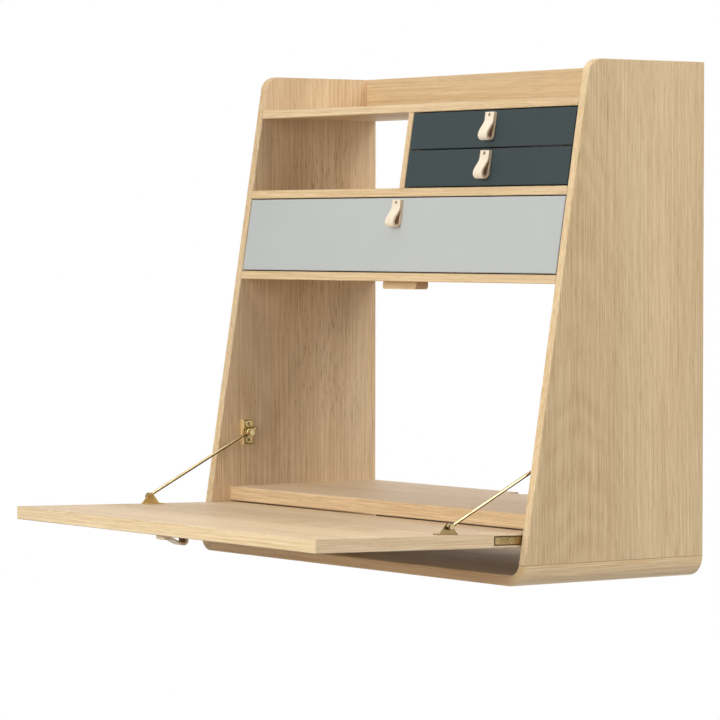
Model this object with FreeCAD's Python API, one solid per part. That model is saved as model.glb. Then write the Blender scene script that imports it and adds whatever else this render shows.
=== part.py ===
import FreeCAD, Part
import math
import os

# A desk that hangs on a wall. Its slanted case holds three drawers, an open niche and a tray on top, and
# its flap swings down on knife hinges to make a writing surface, held up by two sliding brass stays.
# Lengths are in millimetres. X runs from left to right, the wall is the plane Y = 0 and the desk faces -Y.
# While a piece is made, its depth is its distance from the wall and its height is taken from the underside
# of the case. Finished pieces are lowered so that the origin lies midway between the two wall hangers.

Vector = FreeCAD.Vector
ACROSS = Vector(1, 0, 0)
UP = Vector(0, 0, 1)
TO_WALL = Vector(0, 1, 0)

# Case
case_width = 700.0
case_height = 630.0
case_depth_bottom = 280.0
case_depth_top = 178.0
side_thickness = 13.0
bottom_corner_radius = 26.0
top_corner_radius = 20.0
shelf_thickness = 10.8
rail_height = 45.4
shelf_pitch = 107.0
deck_height = 83.3
deck_thickness = 18.6
deck_depth = 238.0
cable_notch_width = 36.0
cable_notch_depth = 20.0
cable_notch_radius = 5.0
rail_thickness = 15.0
edge_ease = 0.8

# Joints of the case
dowel_width = 26.0
dowel_thickness = 4.0
deck_dowel_thickness = 6.0
dowel_in_side = 8.0
dowel_in_board = 16.0
dowel_in_shelf = 6.0
dowel_margin = 28.0
glue_gap = 0.05
spline_thickness = 4.0
spline_reach = 8.0
spline_margin = 20.0

# Flap
flap_thickness = 16.5
flap_side_gap = 1.2
flap_top_gap = 0.8
flap_tail = 31.5
flap_rise_deg = 1.2
hinge_height = 55.2
hinge_inset = 8.5
stop_width = 72.0
stop_depth = 17.7
stop_height = 10.0
stop_corner_radius = 4.5
stop_gap = 0.4

# Knife hinges, let into the edges of the flap and the faces of the sides
leaf_width = 10.7
leaf_length = 48.6
leaf_thickness = 2.4
leaf_seat_gap = 0.5
leaf_screw_shares = (0.46, 0.89)
pin_radius = 2.5
pin_seat_gap = 0.02
boss_radius = 4.0
run_clearance = 0.05
axial_clearance = 0.1

# Countersunk screws, with flat sides like the holes that they fit
screw_sides = 10
screw_head_radius = 2.8
screw_shank_radius = 1.4
screw_head_depth = 1.4
screw_length = 11.0
screw_fit_gap = 0.05

# Stays: the rivet and the post are equally far from the hinge pin
stay_radius = 111.0
stay_rivet_rise = 10.0
stay_post_deg = 116.0
rod_offset = 6.5
rod_radius = 2.0
rod_slide_clearance = 0.06
rod_tail = 3.0
rod_stop_radius = 3.5
rod_stop_length = 5.0
rod_stop_gap = 0.4
eye_radius = 4.5
eye_thickness = 3.5
rivet_radius = 2.0
rivet_head_radius = 3.2
rivet_head_height = 1.2
post_radius = 5.5
post_length = 10.3
post_ease = 0.8
post_plate_gap = 0.2
stud_radius = 2.5
stud_length = 2.0
brake_head_radius = 4.0
brake_head_length = 4.4
brake_shank_radius = 1.5
brake_gap = 0.3
plate_width = 18.0
plate_height = 34.0
plate_thickness = 1.5
plate_reach = 7.6
plate_lip_height = 4.0
plate_corner_radius = 2.0
plate_screw_spread = 21.0
plate_screw_setback = 3.0
bracket_offset = 10.5
bracket_thickness = 1.5
bracket_length = 28.0
bracket_apex_radius = 4.5
bracket_foot = 12.0
bracket_foot_radius = 2.5
bracket_screw_spread = 17.0

# Drawers
divider_thickness = 10.5
drawer_gap = 1.5
drawer_front_thickness = 12.0
drawer_side_thickness = 9.0
drawer_side_gap = 1.0
drawer_slide_gap = 0.2
drawer_bottom_thickness = 4.0
drawer_bottom_rise = 5.0
drawer_groove = 3.0
small_box_height = 40.0
wide_box_height = 75.0
runner_width = 8.0
runner_height = 6.0
runner_end_gap = 2.0
drawer_stop_width = 20.0
drawer_stop_depth = 10.0
drawer_stop_height = 12.0
drawer_stop_inset = 4.0
drawer_stop_gap = 0.3
drawer_stop_share = 0.3

# Leather loop pulls
strap_width = 18.0
strap_thickness = 2.3
pull_height = 35.6
pull_belly = 12.5
pull_clamp = 9.0
pull_slit = 0.5
pull_drop = 3.0
flap_pull_inset = 4.0
pull_screw_drop = 3.5
pull_screw_head_radius = 2.2
pull_screw_head_height = 1.2
pull_screw_crown_share = 0.6
pull_screw_radius = 1.0
pull_screw_grip = 7.0
pull_screw_gap = 0.1

# Keyhole hangers, let into the back of the rail
hanger_spacing = 500.0
hanger_plate_width = 16.0
hanger_plate_height = 36.0
hanger_plate_thickness = 2.0
hanger_entry_radius = 4.5
hanger_entry_drop = 3.0
hanger_slot_width = 4.8
hanger_slot_rise = 9.0
hanger_pocket_depth = 8.0
hanger_pocket_margin = 1.5
hanger_screw_spread = 28.0

# Cuts run past the faces that they open by the overrun, and hardware that is let in has the seat gap
overrun = 5.0
seat_gap = 0.1
same_place = 0.001

# Values that follow
front_slope = (case_depth_bottom - case_depth_top) / case_height
lean = math.atan(front_slope)
case_half = case_width / 2
inner_half = case_half - side_thickness
top_shelf_height = case_height - rail_height
middle_shelf_height = top_shelf_height - shelf_pitch
lower_shelf_height = middle_shelf_height - shelf_pitch
hanger_height = (top_shelf_height + case_height) / 2 - hanger_entry_drop
hinge_depth = case_depth_bottom - hinge_height * front_slope - hinge_inset / math.cos(lean)
flap_half = inner_half - flap_side_gap
flap_bottom = hinge_height - hinge_inset
flap_top = flap_bottom + flap_thickness
flap_closed_top = lower_shelf_height - shelf_thickness - flap_top_gap
flap_reach = (flap_closed_top - hinge_height - hinge_inset * math.sin(lean)) / math.cos(lean)
flap_front = hinge_depth + flap_reach
rivet_above_pin = flap_top + stay_rivet_rise - hinge_height
rivet_along = math.sqrt(stay_radius**2 - rivet_above_pin**2)
rod_x = inner_half - rod_offset


# Placing


def at(x, depth, height):
    """The point at a distance from the wall and a height above the underside of the case."""
    return Vector(x, -depth, height)


def front_depth(height, behind=0.0):
    """The depth, at a height, of the plane that lies squarely behind the slanted front by a distance."""
    return case_depth_bottom - height * front_slope - behind / math.cos(lean)


def around_pin(degrees):
    """The depth and height of the point that lies at the stay radius from the hinge pin, at an angle."""
    angle = math.radians(degrees)
    return (
        hinge_depth + stay_radius * math.cos(angle),
        hinge_height + stay_radius * math.sin(angle),
    )


def raised(shape):
    """The flap and its fittings slope up a little towards the front when the flap is open."""
    return shape.rotated(at(0, hinge_depth, hinge_height), -ACROSS, flap_rise_deg)


def mirrored(shape):
    """The left-hand piece of a right-hand one."""
    return shape.mirror(Vector(0, 0, 0), ACROSS)


def both(shape):
    """A right-hand piece and its left-hand twin."""
    return [shape, mirrored(shape)]


# Forms


def flat(corners):
    """The flat face inside straight edges."""
    return Part.Face(Part.makePolygon(corners + corners[:1]))


def board(outline, x_start, x_end):
    """A board with a (depth, height) outline that runs across the desk."""
    corners = [at(x_start, depth, height) for depth, height in outline]
    return flat(corners).extrude(ACROSS * (x_end - x_start))


def block(x_start, x_end, depth_start, depth_end, height_start, height_end):
    """A square block between two places along each axis."""
    size = (x_end - x_start, depth_end - depth_start, height_end - height_start)
    return Part.makeBox(*size, at(x_start, depth_end, height_start))


def cylinder(radius, start, end):
    """A round bar between the centres of its two ends."""
    return Part.makeCylinder(radius, (end - start).Length, start, end - start)


def turned(profile, base, axis):
    """A turned piece: (radius, distance) corners revolved about an axis that starts at the base."""
    face = flat([Vector(radius, 0, distance) for radius, distance in profile])
    solid = face.revolve(Vector(0, 0, 0), UP, 360)
    solid.Placement = FreeCAD.Placement(base, FreeCAD.Rotation(UP, axis))
    return solid


def tapered(start_radius, end_radius, start, end):
    """A bar with flat sides, from one radius at its start to another at its end."""
    turn = FreeCAD.Rotation(UP, end - start)
    angles = [2 * math.pi * side / screw_sides for side in range(screw_sides)]
    spokes = [turn.multVec(Vector(math.cos(angle), math.sin(angle), 0)) for angle in angles]
    rings = [
        Part.makePolygon([centre + spoke * radius for spoke in spokes + spokes[:1]])
        for centre, radius in ((start, start_radius), (end, end_radius))
    ]
    return Part.makeLoft(rings, True, True)


def rounded(shape, radius, chosen):
    """The shape with a fillet on each edge that the test chooses."""
    return shape.makeFillet(radius, [edge for edge in shape.Edges if chosen(edge)])


def eased(shape, width, chosen):
    """The shape with a narrow bevel on each edge that the test chooses."""
    return shape.makeChamfer(width, [edge for edge in shape.Edges if chosen(edge)])


def ends(edge):
    """The two end points of an edge."""
    return [vertex.Point for vertex in edge.Vertexes]


def on_front(edge):
    """Whether an edge lies in the slanted front plane."""
    return all(abs(-point.y - front_depth(point.z)) < same_place for point in ends(edge))


def runs_across(edge):
    """Whether an edge runs straight along X."""
    first, last = ends(edge)
    return (last - first).cross(ACROSS).Length < same_place


def front_arris(edge):
    """Whether an edge is one of the two long arrises at the front of a shelf."""
    return on_front(edge) and runs_across(edge)


def screw(seat, direction, gap=0.0):
    """A countersunk screw with its head flush at the seat. With a gap it is the hole that the screw fits."""
    shank_radius = screw_shank_radius + gap
    neck = seat + direction * screw_head_depth
    tip = seat + direction * (screw_length + gap)
    head = tapered(screw_head_radius + gap, shank_radius, seat, neck)
    return head.fuse(tapered(shank_radius, shank_radius, neck, tip))


def cut_all(shape, tools):
    """The shape with every tool cut away."""
    return shape.cut(Part.makeCompound(tools))


# Case dowels


def span(centre, size):
    """The two ends of a size about its centre."""
    return (centre - size / 2, centre + size / 2)


def dowel(x_span, depth_span, height_span, gap=0.0):
    """A flat dowel that fills three spans. With a gap it is the pair of slots that the dowel fits."""
    x_start, x_end = x_span
    depth_start, depth_end = depth_span
    height_start, height_end = height_span
    return block(
        x_start - gap,
        x_end + gap,
        depth_start - gap,
        depth_end + gap,
        height_start - gap,
        height_end + gap,
    )


def end_dowels(depth_span, height_span):
    """A dowel at each end of a crosswise board, let into the sides."""
    outer = inner_half + dowel_in_side
    inner = inner_half - dowel_in_board
    return [(x_span, depth_span, height_span) for x_span in ((inner, outer), (-outer, -inner))]


def lying_dowels(depths, middle, thickness):
    """Dowels at both ends of a lying board, at each of the depths."""
    places = []
    for depth in depths:
        places += end_dowels(span(depth, dowel_width), span(middle, thickness))
    return places


def case_dowel_places():
    """Every dowel of the case, as its spans across the desk, in depth and in height."""
    places = []
    for top in (lower_shelf_height, middle_shelf_height, top_shelf_height):
        depths = (dowel_margin, front_depth(top) - dowel_margin)
        places += lying_dowels(depths, top - shelf_thickness / 2, dowel_thickness)
    deck_depths = (dowel_margin, deck_depth / 2, deck_depth - dowel_margin)
    places += lying_dowels(deck_depths, deck_height - deck_thickness / 2, deck_dowel_thickness)
    rail_middle = top_shelf_height + rail_height / 2
    places += end_dowels(span(rail_thickness / 2, dowel_thickness), span(rail_middle, dowel_width))
    foot = middle_shelf_height
    head = top_shelf_height - shelf_thickness
    for depth in (dowel_margin, front_depth(top_shelf_height) - dowel_margin):
        for height_span in (
            (foot - dowel_in_shelf, foot + dowel_in_board),
            (head - dowel_in_board, head + dowel_in_shelf),
        ):
            places.append((span(0, dowel_thickness), span(depth, dowel_width), height_span))
    return places


dowel_places = case_dowel_places()
dowels = [dowel(*place) for place in dowel_places]
dowel_holes = [dowel(*place, glue_gap) for place in dowel_places]


# Case boards


def corner_spline(centre_x, centre_height, width, height, gap=0.0):
    """A spline that runs from back to front inside a seam of a rounded corner."""
    half_width = width / 2 + gap
    half_height = height / 2 + gap
    front = front_depth(centre_height) - spline_margin + gap
    return block(
        centre_x - half_width,
        centre_x + half_width,
        spline_margin - gap,
        front,
        centre_height - half_height,
        centre_height + half_height,
    )


def corner_splines(gap=0.0):
    """The upright and the lying spline of the right-hand corner."""
    length = 2 * spline_reach
    middle = side_thickness / 2
    upright = corner_spline(case_half - middle, bottom_corner_radius, spline_thickness, length, gap)
    lying = corner_spline(case_half - bottom_corner_radius, middle, length, spline_thickness, gap)
    return [upright, lying]


def bottom_corner():
    """A quarter ring that joins the side to the bottom panel, cut off by the slanted front."""
    inside_radius = bottom_corner_radius - side_thickness
    centre = at(case_half - bottom_corner_radius, 0, bottom_corner_radius)
    profile = [
        centre + ACROSS * inside_radius,
        centre + ACROSS * bottom_corner_radius,
        centre - UP * bottom_corner_radius,
        centre - UP * inside_radius,
    ]
    diagonal = (ACROSS - UP).normalize()
    outer = Part.Arc(profile[1], centre + diagonal * bottom_corner_radius, profile[2]).toShape()
    inner = Part.Arc(profile[3], centre + diagonal * inside_radius, profile[0]).toShape()
    seams = [Part.LineSegment(*profile[0:2]).toShape(), Part.LineSegment(*profile[2:4]).toShape()]
    section = Part.Face(Part.Wire([seams[0], outer, seams[1], inner]))
    bar = section.extrude(-TO_WALL * (case_depth_bottom + overrun))
    ahead = [
        (front_depth(-overrun), -overrun),
        (case_depth_bottom + 2 * overrun, -overrun),
        (case_depth_bottom + 2 * overrun, bottom_corner_radius + overrun),
        (front_depth(bottom_corner_radius + overrun), bottom_corner_radius + overrun),
    ]
    piece = bar.cut(board(ahead, 0, case_width))

    def front_round(edge):
        return on_front(edge) and edge.Curve.TypeId != "Part::GeomLine"

    return cut_all(eased(piece, edge_ease, front_round), corner_splines(glue_gap))


def hinge_leaf(x_start, x_end, forward, gap=0.0):
    """A flat hinge leaf with a round end about the pin, reaching forward or back."""
    half = leaf_width / 2 + gap
    far = hinge_depth + forward * (leaf_length + gap)
    upper = at(x_start, hinge_depth, hinge_height + half)
    lower = at(x_start, hinge_depth, hinge_height - half)
    round_end = at(x_start, hinge_depth - forward * half, hinge_height)
    corners = [upper, at(x_start, far, upper.z), at(x_start, far, lower.z), lower]
    lines = [Part.LineSegment(*pair).toShape() for pair in zip(corners, corners[1:])]
    arc = Part.Arc(lower, round_end, upper).toShape()
    return Part.Face(Part.Wire(lines + [arc])).extrude(ACROSS * (x_end - x_start))


def leaf_screws(seat_x, forward, gap=0.0):
    """The screws of a hinge leaf on the right-hand side, driven from the gap between flap and case."""
    depths = [hinge_depth + forward * share * leaf_length for share in leaf_screw_shares]
    return [screw(at(seat_x, depth, hinge_height), -ACROSS * forward, gap) for depth in depths]


def plate_screws(gap=0.0):
    """The screws of the right-hand stay plate."""
    depth, height = around_pin(stay_post_deg)
    seat_x = inner_half - plate_thickness
    half = plate_screw_spread / 2
    heights = (height - half, height + half)
    return [screw(at(seat_x, depth - plate_screw_setback, level), ACROSS, gap) for level in heights]


def side_panel():
    """The right-hand side with its slanted front, rounded top corner and hinge recess."""
    foot = bottom_corner_radius
    outline = [(0, foot), (front_depth(foot), foot), (case_depth_top, case_height), (0, case_height)]
    panel = board(outline, inner_half, case_half)

    def top_front(edge):
        return runs_across(edge) and on_front(edge) and ends(edge)[0].z > case_height - same_place

    def arris(edge):
        points = ends(edge)
        upright_face = abs(points[0].x - points[1].x) < same_place
        at_back = all(abs(point.y) < same_place for point in points)
        at_foot = all(abs(point.z - foot) < same_place for point in points)
        return upright_face and not at_back and not at_foot

    panel = eased(rounded(panel, top_corner_radius, top_front), edge_ease, arris)
    recess = hinge_leaf(inner_half - overrun, inner_half + leaf_thickness, -1, seat_gap)
    holes = leaf_screws(inner_half, -1, screw_fit_gap) + plate_screws(screw_fit_gap)
    return cut_all(panel, [recess] + holes + dowel_holes + corner_splines(glue_gap))


def bottom_panel():
    """The bottom board between the rounded corners."""
    thick = side_thickness
    half = case_half - bottom_corner_radius
    outline = [(0, 0), (front_depth(0), 0), (front_depth(thick), thick), (0, thick)]
    panel = eased(board(outline, -half, half), edge_ease, front_arris)
    splines = corner_splines(glue_gap)
    return cut_all(panel, splines + [mirrored(spline) for spline in splines])


def shelf(top):
    """A shelf between the sides, from the wall to the slanted front."""
    bottom = top - shelf_thickness
    outline = [(0, bottom), (front_depth(bottom), bottom), (front_depth(top), top), (0, top)]
    plain = board(outline, -inner_half, inner_half)
    return cut_all(eased(plain, edge_ease, front_arris), dowel_holes)


def deck_board():
    """The fixed back part of the writing surface, with a notch for cables in its back edge."""
    bottom = deck_height - deck_thickness
    plain = block(-inner_half, inner_half, 0, deck_depth, bottom, deck_height)

    def front_edge(edge):
        return runs_across(edge) and abs(ends(edge)[0].y + deck_depth) < same_place

    def inner_corner(edge):
        points = ends(edge)
        upright = (points[1] - points[0]).cross(UP).Length < same_place
        return upright and abs(points[0].y + cable_notch_depth) < same_place

    half = cable_notch_width / 2
    notch = block(-half, half, -overrun, cable_notch_depth, bottom - overrun, deck_height + overrun)
    notch = rounded(notch, cable_notch_radius, inner_corner)
    return cut_all(eased(plain, edge_ease, front_edge), [notch] + dowel_holes)


def niche_divider():
    """The upright board between the open niche and the small drawers."""
    foot = middle_shelf_height
    head = top_shelf_height - shelf_thickness
    outline = [(0, foot), (front_depth(foot), foot), (front_depth(head), head), (0, head)]
    plain = board(outline, -divider_thickness / 2, divider_thickness / 2)

    def upright_arris(edge):
        return on_front(edge) and not runs_across(edge)

    return cut_all(eased(plain, edge_ease, upright_arris), dowel_holes)


def stop_block():
    """The block under the lower shelf that the closed flap leans against."""
    top = lower_shelf_height - shelf_thickness
    foot = top - stop_height
    behind = flap_thickness + stop_gap
    back = front_depth(top, behind) - stop_depth
    outline = [(back, foot), (front_depth(foot, behind), foot), (front_depth(top, behind), top), (back, top)]
    plain = board(outline, -stop_width / 2, stop_width / 2)

    def lower_end(edge):
        points = ends(edge)
        return not runs_across(edge) and all(abs(point.z - foot) < same_place for point in points)

    return rounded(plain, stop_corner_radius, lower_end)


# Wall hangers


def keyhole(x, depth_end, gap=0.0):
    """A keyhole cut from the wall into the rail: a round entry with a slot that rises from it."""
    half_width = hanger_slot_width / 2 + gap
    radius = hanger_entry_radius + gap
    top = hanger_height + hanger_slot_rise
    entry = cylinder(radius, at(x, -overrun, hanger_height), at(x, depth_end, hanger_height))
    slot = block(x - half_width, x + half_width, -overrun, depth_end, hanger_height, top)
    round_top = cylinder(half_width, at(x, -overrun, top), at(x, depth_end, top))
    return entry.fuse([slot, round_top])


def hanger_box(x, gap=0.0):
    """The plate of a hanger, or with a gap its recess in the rail."""
    half = hanger_plate_width / 2 + gap
    half_height = hanger_plate_height / 2 + gap
    middle = hanger_height + hanger_entry_drop
    wall = -overrun if gap else 0
    low = middle - half_height
    high = middle + half_height
    return block(x - half, x + half, wall, hanger_plate_thickness, low, high)


def hanger_screws(x, gap=0.0):
    """The two screws of a hanger plate."""
    middle = hanger_height + hanger_entry_drop
    half = hanger_screw_spread / 2
    heights = (middle - half, middle + half)
    return [screw(at(x, 0, height), -TO_WALL, gap) for height in heights]


hanger_xs = (-hanger_spacing / 2, hanger_spacing / 2)


def hanger_plate(x):
    """A steel keyhole plate."""
    tools = [keyhole(x, hanger_plate_thickness + overrun)] + hanger_screws(x, screw_fit_gap)
    return cut_all(hanger_box(x), tools)


def back_rail():
    """The rail above the top shelf, which hangs on the wall."""
    plain = block(-inner_half, inner_half, 0, rail_thickness, top_shelf_height, case_height)

    def upper_front(edge):
        point = ends(edge)[0]
        high = abs(point.z - case_height) < same_place
        return runs_across(edge) and high and abs(point.y + rail_thickness) < same_place

    tools = []
    for x in hanger_xs:
        tools += [hanger_box(x, seat_gap), keyhole(x, hanger_pocket_depth, hanger_pocket_margin)]
        tools += hanger_screws(x, screw_fit_gap)
    return cut_all(eased(plain, edge_ease, upper_front), tools + dowel_holes)


# Flap


def bracket_screws(gap=0.0):
    """The two screws in the foot of the right-hand bracket."""
    x = inner_half - bracket_offset - bracket_thickness - bracket_foot / 2
    half = bracket_screw_spread / 2
    depths = [hinge_depth + rivet_along + side * half for side in (-1, 1)]
    return [screw(at(x, depth, flap_top + bracket_thickness), -UP, gap) for depth in depths]


def pull_screw(origin, down, out, gap=0.0):
    """The screw that clamps both ends of a strap, and its hole."""
    base = origin + down * pull_screw_drop + out * (2 * strap_thickness + pull_screw_head_height)
    rim = pull_screw_head_radius
    crown = rim * pull_screw_crown_share
    shank_radius = pull_screw_radius + gap
    neck = base - out * pull_screw_head_height
    tip = neck - out * (2 * strap_thickness + pull_screw_grip + gap)
    head = tapered(crown, rim, base, neck)
    return head.fuse(tapered(shank_radius, shank_radius, neck, tip))


def pull_strap(origin, down, out):
    """A leather strap folded into a loop: its ends lie on each other at the top and it swells below."""
    bottom_radius = pull_belly / 2
    bend = pull_height - bottom_radius
    double = 2 * strap_thickness
    run = bend - pull_clamp
    swell = pull_belly - double
    sweep = (run**2 + swell**2) / (4 * swell)
    turn = math.asin(run / (2 * sweep))
    wide = sweep + strap_thickness
    tight = sweep - strap_thickness
    slit_turn = math.acos(1 - pull_slit / wide)
    edge_shift = -ACROSS * (strap_width / 2)

    def point(distance, proud):
        return origin + edge_shift + down * distance + out * proud

    def upper(radius, angle):
        return point(pull_clamp + radius * math.sin(angle), double + sweep - radius * math.cos(angle))

    def lower(radius, angle):
        return point(bend - radius * math.sin(angle), pull_belly - sweep + radius * math.cos(angle))

    def line(start, end):
        return Part.LineSegment(start, end).toShape()

    def arc(start, middle, end):
        return Part.Arc(start, middle, end).toShape()

    outside = [
        line(point(0, 0), point(bend, 0)),
        arc(point(bend, 0), point(pull_height, bottom_radius), point(bend, pull_belly)),
        arc(point(bend, pull_belly), lower(sweep, turn / 2), lower(sweep, turn)),
        arc(lower(sweep, turn), upper(sweep, turn / 2), upper(sweep, 0)),
        line(upper(sweep, 0), point(0, double)),
        line(point(0, double), point(0, 0)),
    ]
    slit_end = upper(wide, slit_turn)
    slit_start = point(pull_clamp + wide * math.sin(slit_turn), strap_thickness)
    low_back = point(bend, strap_thickness)
    low_middle = point(pull_height - strap_thickness, bottom_radius)
    low_front = point(bend, pull_belly - strap_thickness)
    inside = [
        line(slit_start, low_back),
        arc(low_back, low_middle, low_front),
        arc(low_front, lower(tight, turn / 2), lower(tight, turn)),
        arc(lower(tight, turn), upper(wide, (turn + slit_turn) / 2), slit_end),
        line(slit_end, slit_start),
    ]
    section = Part.Face(Part.Wire(outside)).cut(Part.Face(Part.Wire(inside)))
    strap = section.extrude(ACROSS * strap_width)
    return strap.cut(pull_screw(origin, down, out, pull_screw_gap))


flap_pull_place = (at(0, flap_front - flap_pull_inset, flap_bottom), TO_WALL, -UP)


def flap_board():
    """The flap with the recesses of its hinge leaves and the holes of its screws."""
    plain = block(-flap_half, flap_half, hinge_depth - flap_tail, flap_front, flap_bottom, flap_top)
    plain = plain.makeChamfer(edge_ease, plain.Edges)
    recess = hinge_leaf(flap_half - leaf_thickness, flap_half + overrun, 1, leaf_seat_gap)
    holes = leaf_screws(flap_half, 1, screw_fit_gap) + bracket_screws(screw_fit_gap)
    tools = [recess] + holes
    tools += [mirrored(tool) for tool in tools]
    return raised(cut_all(plain, tools + [pull_screw(*flap_pull_place, pull_screw_gap)]))


def flap_leaf():
    """The right-hand leaf in the flap's edge, which turns on the pin."""
    leaf = hinge_leaf(flap_half - leaf_thickness, flap_half, 1)
    bore = cylinder(
        pin_radius + run_clearance,
        at(flap_half - leaf_thickness - overrun, hinge_depth, hinge_height),
        at(flap_half + overrun, hinge_depth, hinge_height),
    )
    return raised(cut_all(leaf, [bore] + leaf_screws(flap_half, 1, screw_fit_gap)))


def case_leaf():
    """The right-hand leaf in the side, with a boss that keeps the flap clear of the side."""
    leaf = hinge_leaf(inner_half, inner_half + leaf_thickness, -1)
    boss_start = at(flap_half + axial_clearance, hinge_depth, hinge_height)
    boss = cylinder(boss_radius, boss_start, at(inner_half, hinge_depth, hinge_height))
    bore_end = at(inner_half + leaf_thickness + overrun, hinge_depth, hinge_height)
    bore = cylinder(pin_radius + pin_seat_gap, boss_start - ACROSS * overrun, bore_end)
    return cut_all(leaf.fuse(boss), [bore] + leaf_screws(inner_half, -1, screw_fit_gap))


def hinge_pin():
    """The right-hand pin, fixed in the leaf of the side."""
    start = at(flap_half - leaf_thickness + axial_clearance, hinge_depth, hinge_height)
    return cylinder(pin_radius, start, at(inner_half + leaf_thickness, hinge_depth, hinge_height))


# Stays


post_depth, post_height = around_pin(stay_post_deg)
rivet_deg = flap_rise_deg + math.degrees(math.asin(rivet_above_pin / stay_radius))
rivet_depth, rivet_height = around_pin(rivet_deg)
rod_start = at(rod_x, rivet_depth, rivet_height)
rod_pivot = at(rod_x, post_depth, post_height)
rod_line = (rod_pivot - rod_start).normalize()
rod_span = (rod_pivot - rod_start).Length
bracket_x = inner_half - bracket_offset


def stay_bracket():
    """The right-hand bracket on the flap: a foot and a triangular cheek, bent from one strip."""
    middle = hinge_depth + rivet_along
    half = bracket_length / 2
    rise = stay_rivet_rise
    reach = math.hypot(half, rise)
    tangent = math.acos(bracket_apex_radius / reach) + math.atan2(half, rise)
    side = bracket_apex_radius * math.sin(tangent)
    drop = bracket_apex_radius * math.cos(tangent)
    pivot_height = flap_top + rise

    def cheek_point(along, height):
        return at(bracket_x - bracket_thickness, middle + along, height)

    right = cheek_point(side, pivot_height - drop)
    left = cheek_point(-side, pivot_height - drop)
    feet = [cheek_point(half, flap_top), cheek_point(-half, flap_top)]
    edges = [
        Part.LineSegment(left, feet[1]).toShape(),
        Part.LineSegment(feet[1], feet[0]).toShape(),
        Part.LineSegment(feet[0], right).toShape(),
        Part.Arc(right, cheek_point(0, pivot_height + bracket_apex_radius), left).toShape(),
    ]
    cheek = Part.Face(Part.Wire(edges)).extrude(ACROSS * bracket_thickness)
    inner_end = bracket_x - bracket_thickness - bracket_foot
    foot = block(inner_end, bracket_x, middle - half, middle + half, flap_top, flap_top + bracket_thickness)

    def foot_corner(edge):
        points = ends(edge)
        upright = (points[1] - points[0]).cross(UP).Length < same_place
        return upright and abs(points[0].x - inner_end) < same_place

    foot = rounded(foot, bracket_foot_radius, foot_corner)
    hole = cylinder(
        rivet_radius + pin_seat_gap,
        at(bracket_x - bracket_thickness - overrun, middle, pivot_height),
        at(bracket_x + overrun, middle, pivot_height),
    )
    whole = cheek.fuse(foot).removeSplitter()
    return raised(cut_all(whole, [hole] + bracket_screws(screw_fit_gap)))


def stay_rivet():
    """The right-hand rivet: a shoulder spaces the rod's eye from the bracket, and heads hold both."""
    head_end = bracket_x - bracket_thickness
    base = at(head_end - rivet_head_height, rivet_depth, rivet_height)
    eye_half = eye_thickness / 2 + axial_clearance
    inner_head = rivet_head_height
    cheek_end = bracket_x - base.x
    eye_start = rod_x - eye_half - base.x
    eye_end = rod_x + eye_half - base.x
    top = eye_end + rivet_head_height
    head = rivet_head_radius
    shank = rivet_radius
    profile = [
        (0, 0),
        (head, 0),
        (head, inner_head),
        (shank, inner_head),
        (shank, cheek_end),
        (head, cheek_end),
        (head, eye_start),
        (shank, eye_start),
        (shank, eye_end),
        (head, eye_end),
        (head, top),
        (0, top),
    ]
    return turned(profile, base, ACROSS)


def stay_rod():
    """The right-hand rod with the flat eye that turns on the rivet."""
    half = ACROSS * (eye_thickness / 2)
    eye = cylinder(eye_radius, rod_start - half, rod_start + half)
    bore = cylinder(rivet_radius + run_clearance, rod_start - half * 2, rod_start + half * 2)
    tail = rod_span + post_radius + rod_stop_gap + rod_stop_length + rod_tail
    neck = rod_start + rod_line * ((rivet_radius + eye_radius) / 2)
    bar = cylinder(rod_radius, neck, rod_start + rod_line * tail)
    return eye.fuse(bar).cut(bore)


def rod_stop():
    """The collar near the tail of the rod, which meets the post when the flap is open."""
    base = rod_pivot + rod_line * (post_radius + rod_stop_gap)
    bore = rod_radius + pin_seat_gap
    length = rod_stop_length
    profile = [(bore, 0), (rod_stop_radius, 0), (rod_stop_radius, length), (bore, length)]
    return turned(profile, base, rod_line)


def stay_post():
    """The right-hand post, which turns on the plate's stud and lets the rod slide through."""
    outer = at(inner_half - plate_thickness - post_plate_gap, post_depth, post_height)
    inner = outer - ACROSS * post_length
    bar = cylinder(post_radius, inner, outer)

    def inner_rim(edge):
        return all(abs(point.x - inner.x) < same_place for point in ends(edge))

    bar = eased(bar, post_ease, inner_rim)
    reach = rod_line * (post_radius + overrun)
    rod_bore = cylinder(rod_radius + rod_slide_clearance, rod_pivot - reach, rod_pivot + reach)
    stud_end = outer - ACROSS * (stud_length + axial_clearance - post_plate_gap)
    stud_bore = cylinder(stud_radius + run_clearance, stud_end, outer + ACROSS * overrun)
    brake_end = rod_pivot - ACROSS * rod_radius
    brake_bore = cylinder(brake_shank_radius + screw_fit_gap, inner - ACROSS * overrun, brake_end)
    return cut_all(bar, [rod_bore, stud_bore, brake_bore])


def brake_screw():
    """The knob whose tip bears on the rod to slow the flap."""
    inner_x = inner_half - plate_thickness - post_plate_gap - post_length
    base = at(inner_x - brake_head_length, post_depth, post_height)
    tip = rod_x - rod_radius - brake_gap - base.x
    head = brake_head_radius
    shank = brake_shank_radius
    length = brake_head_length
    profile = [(0, 0), (head, 0), (head, length), (shank, length), (shank, tip), (0, tip)]
    return turned(profile, base, ACROSS)


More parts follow.
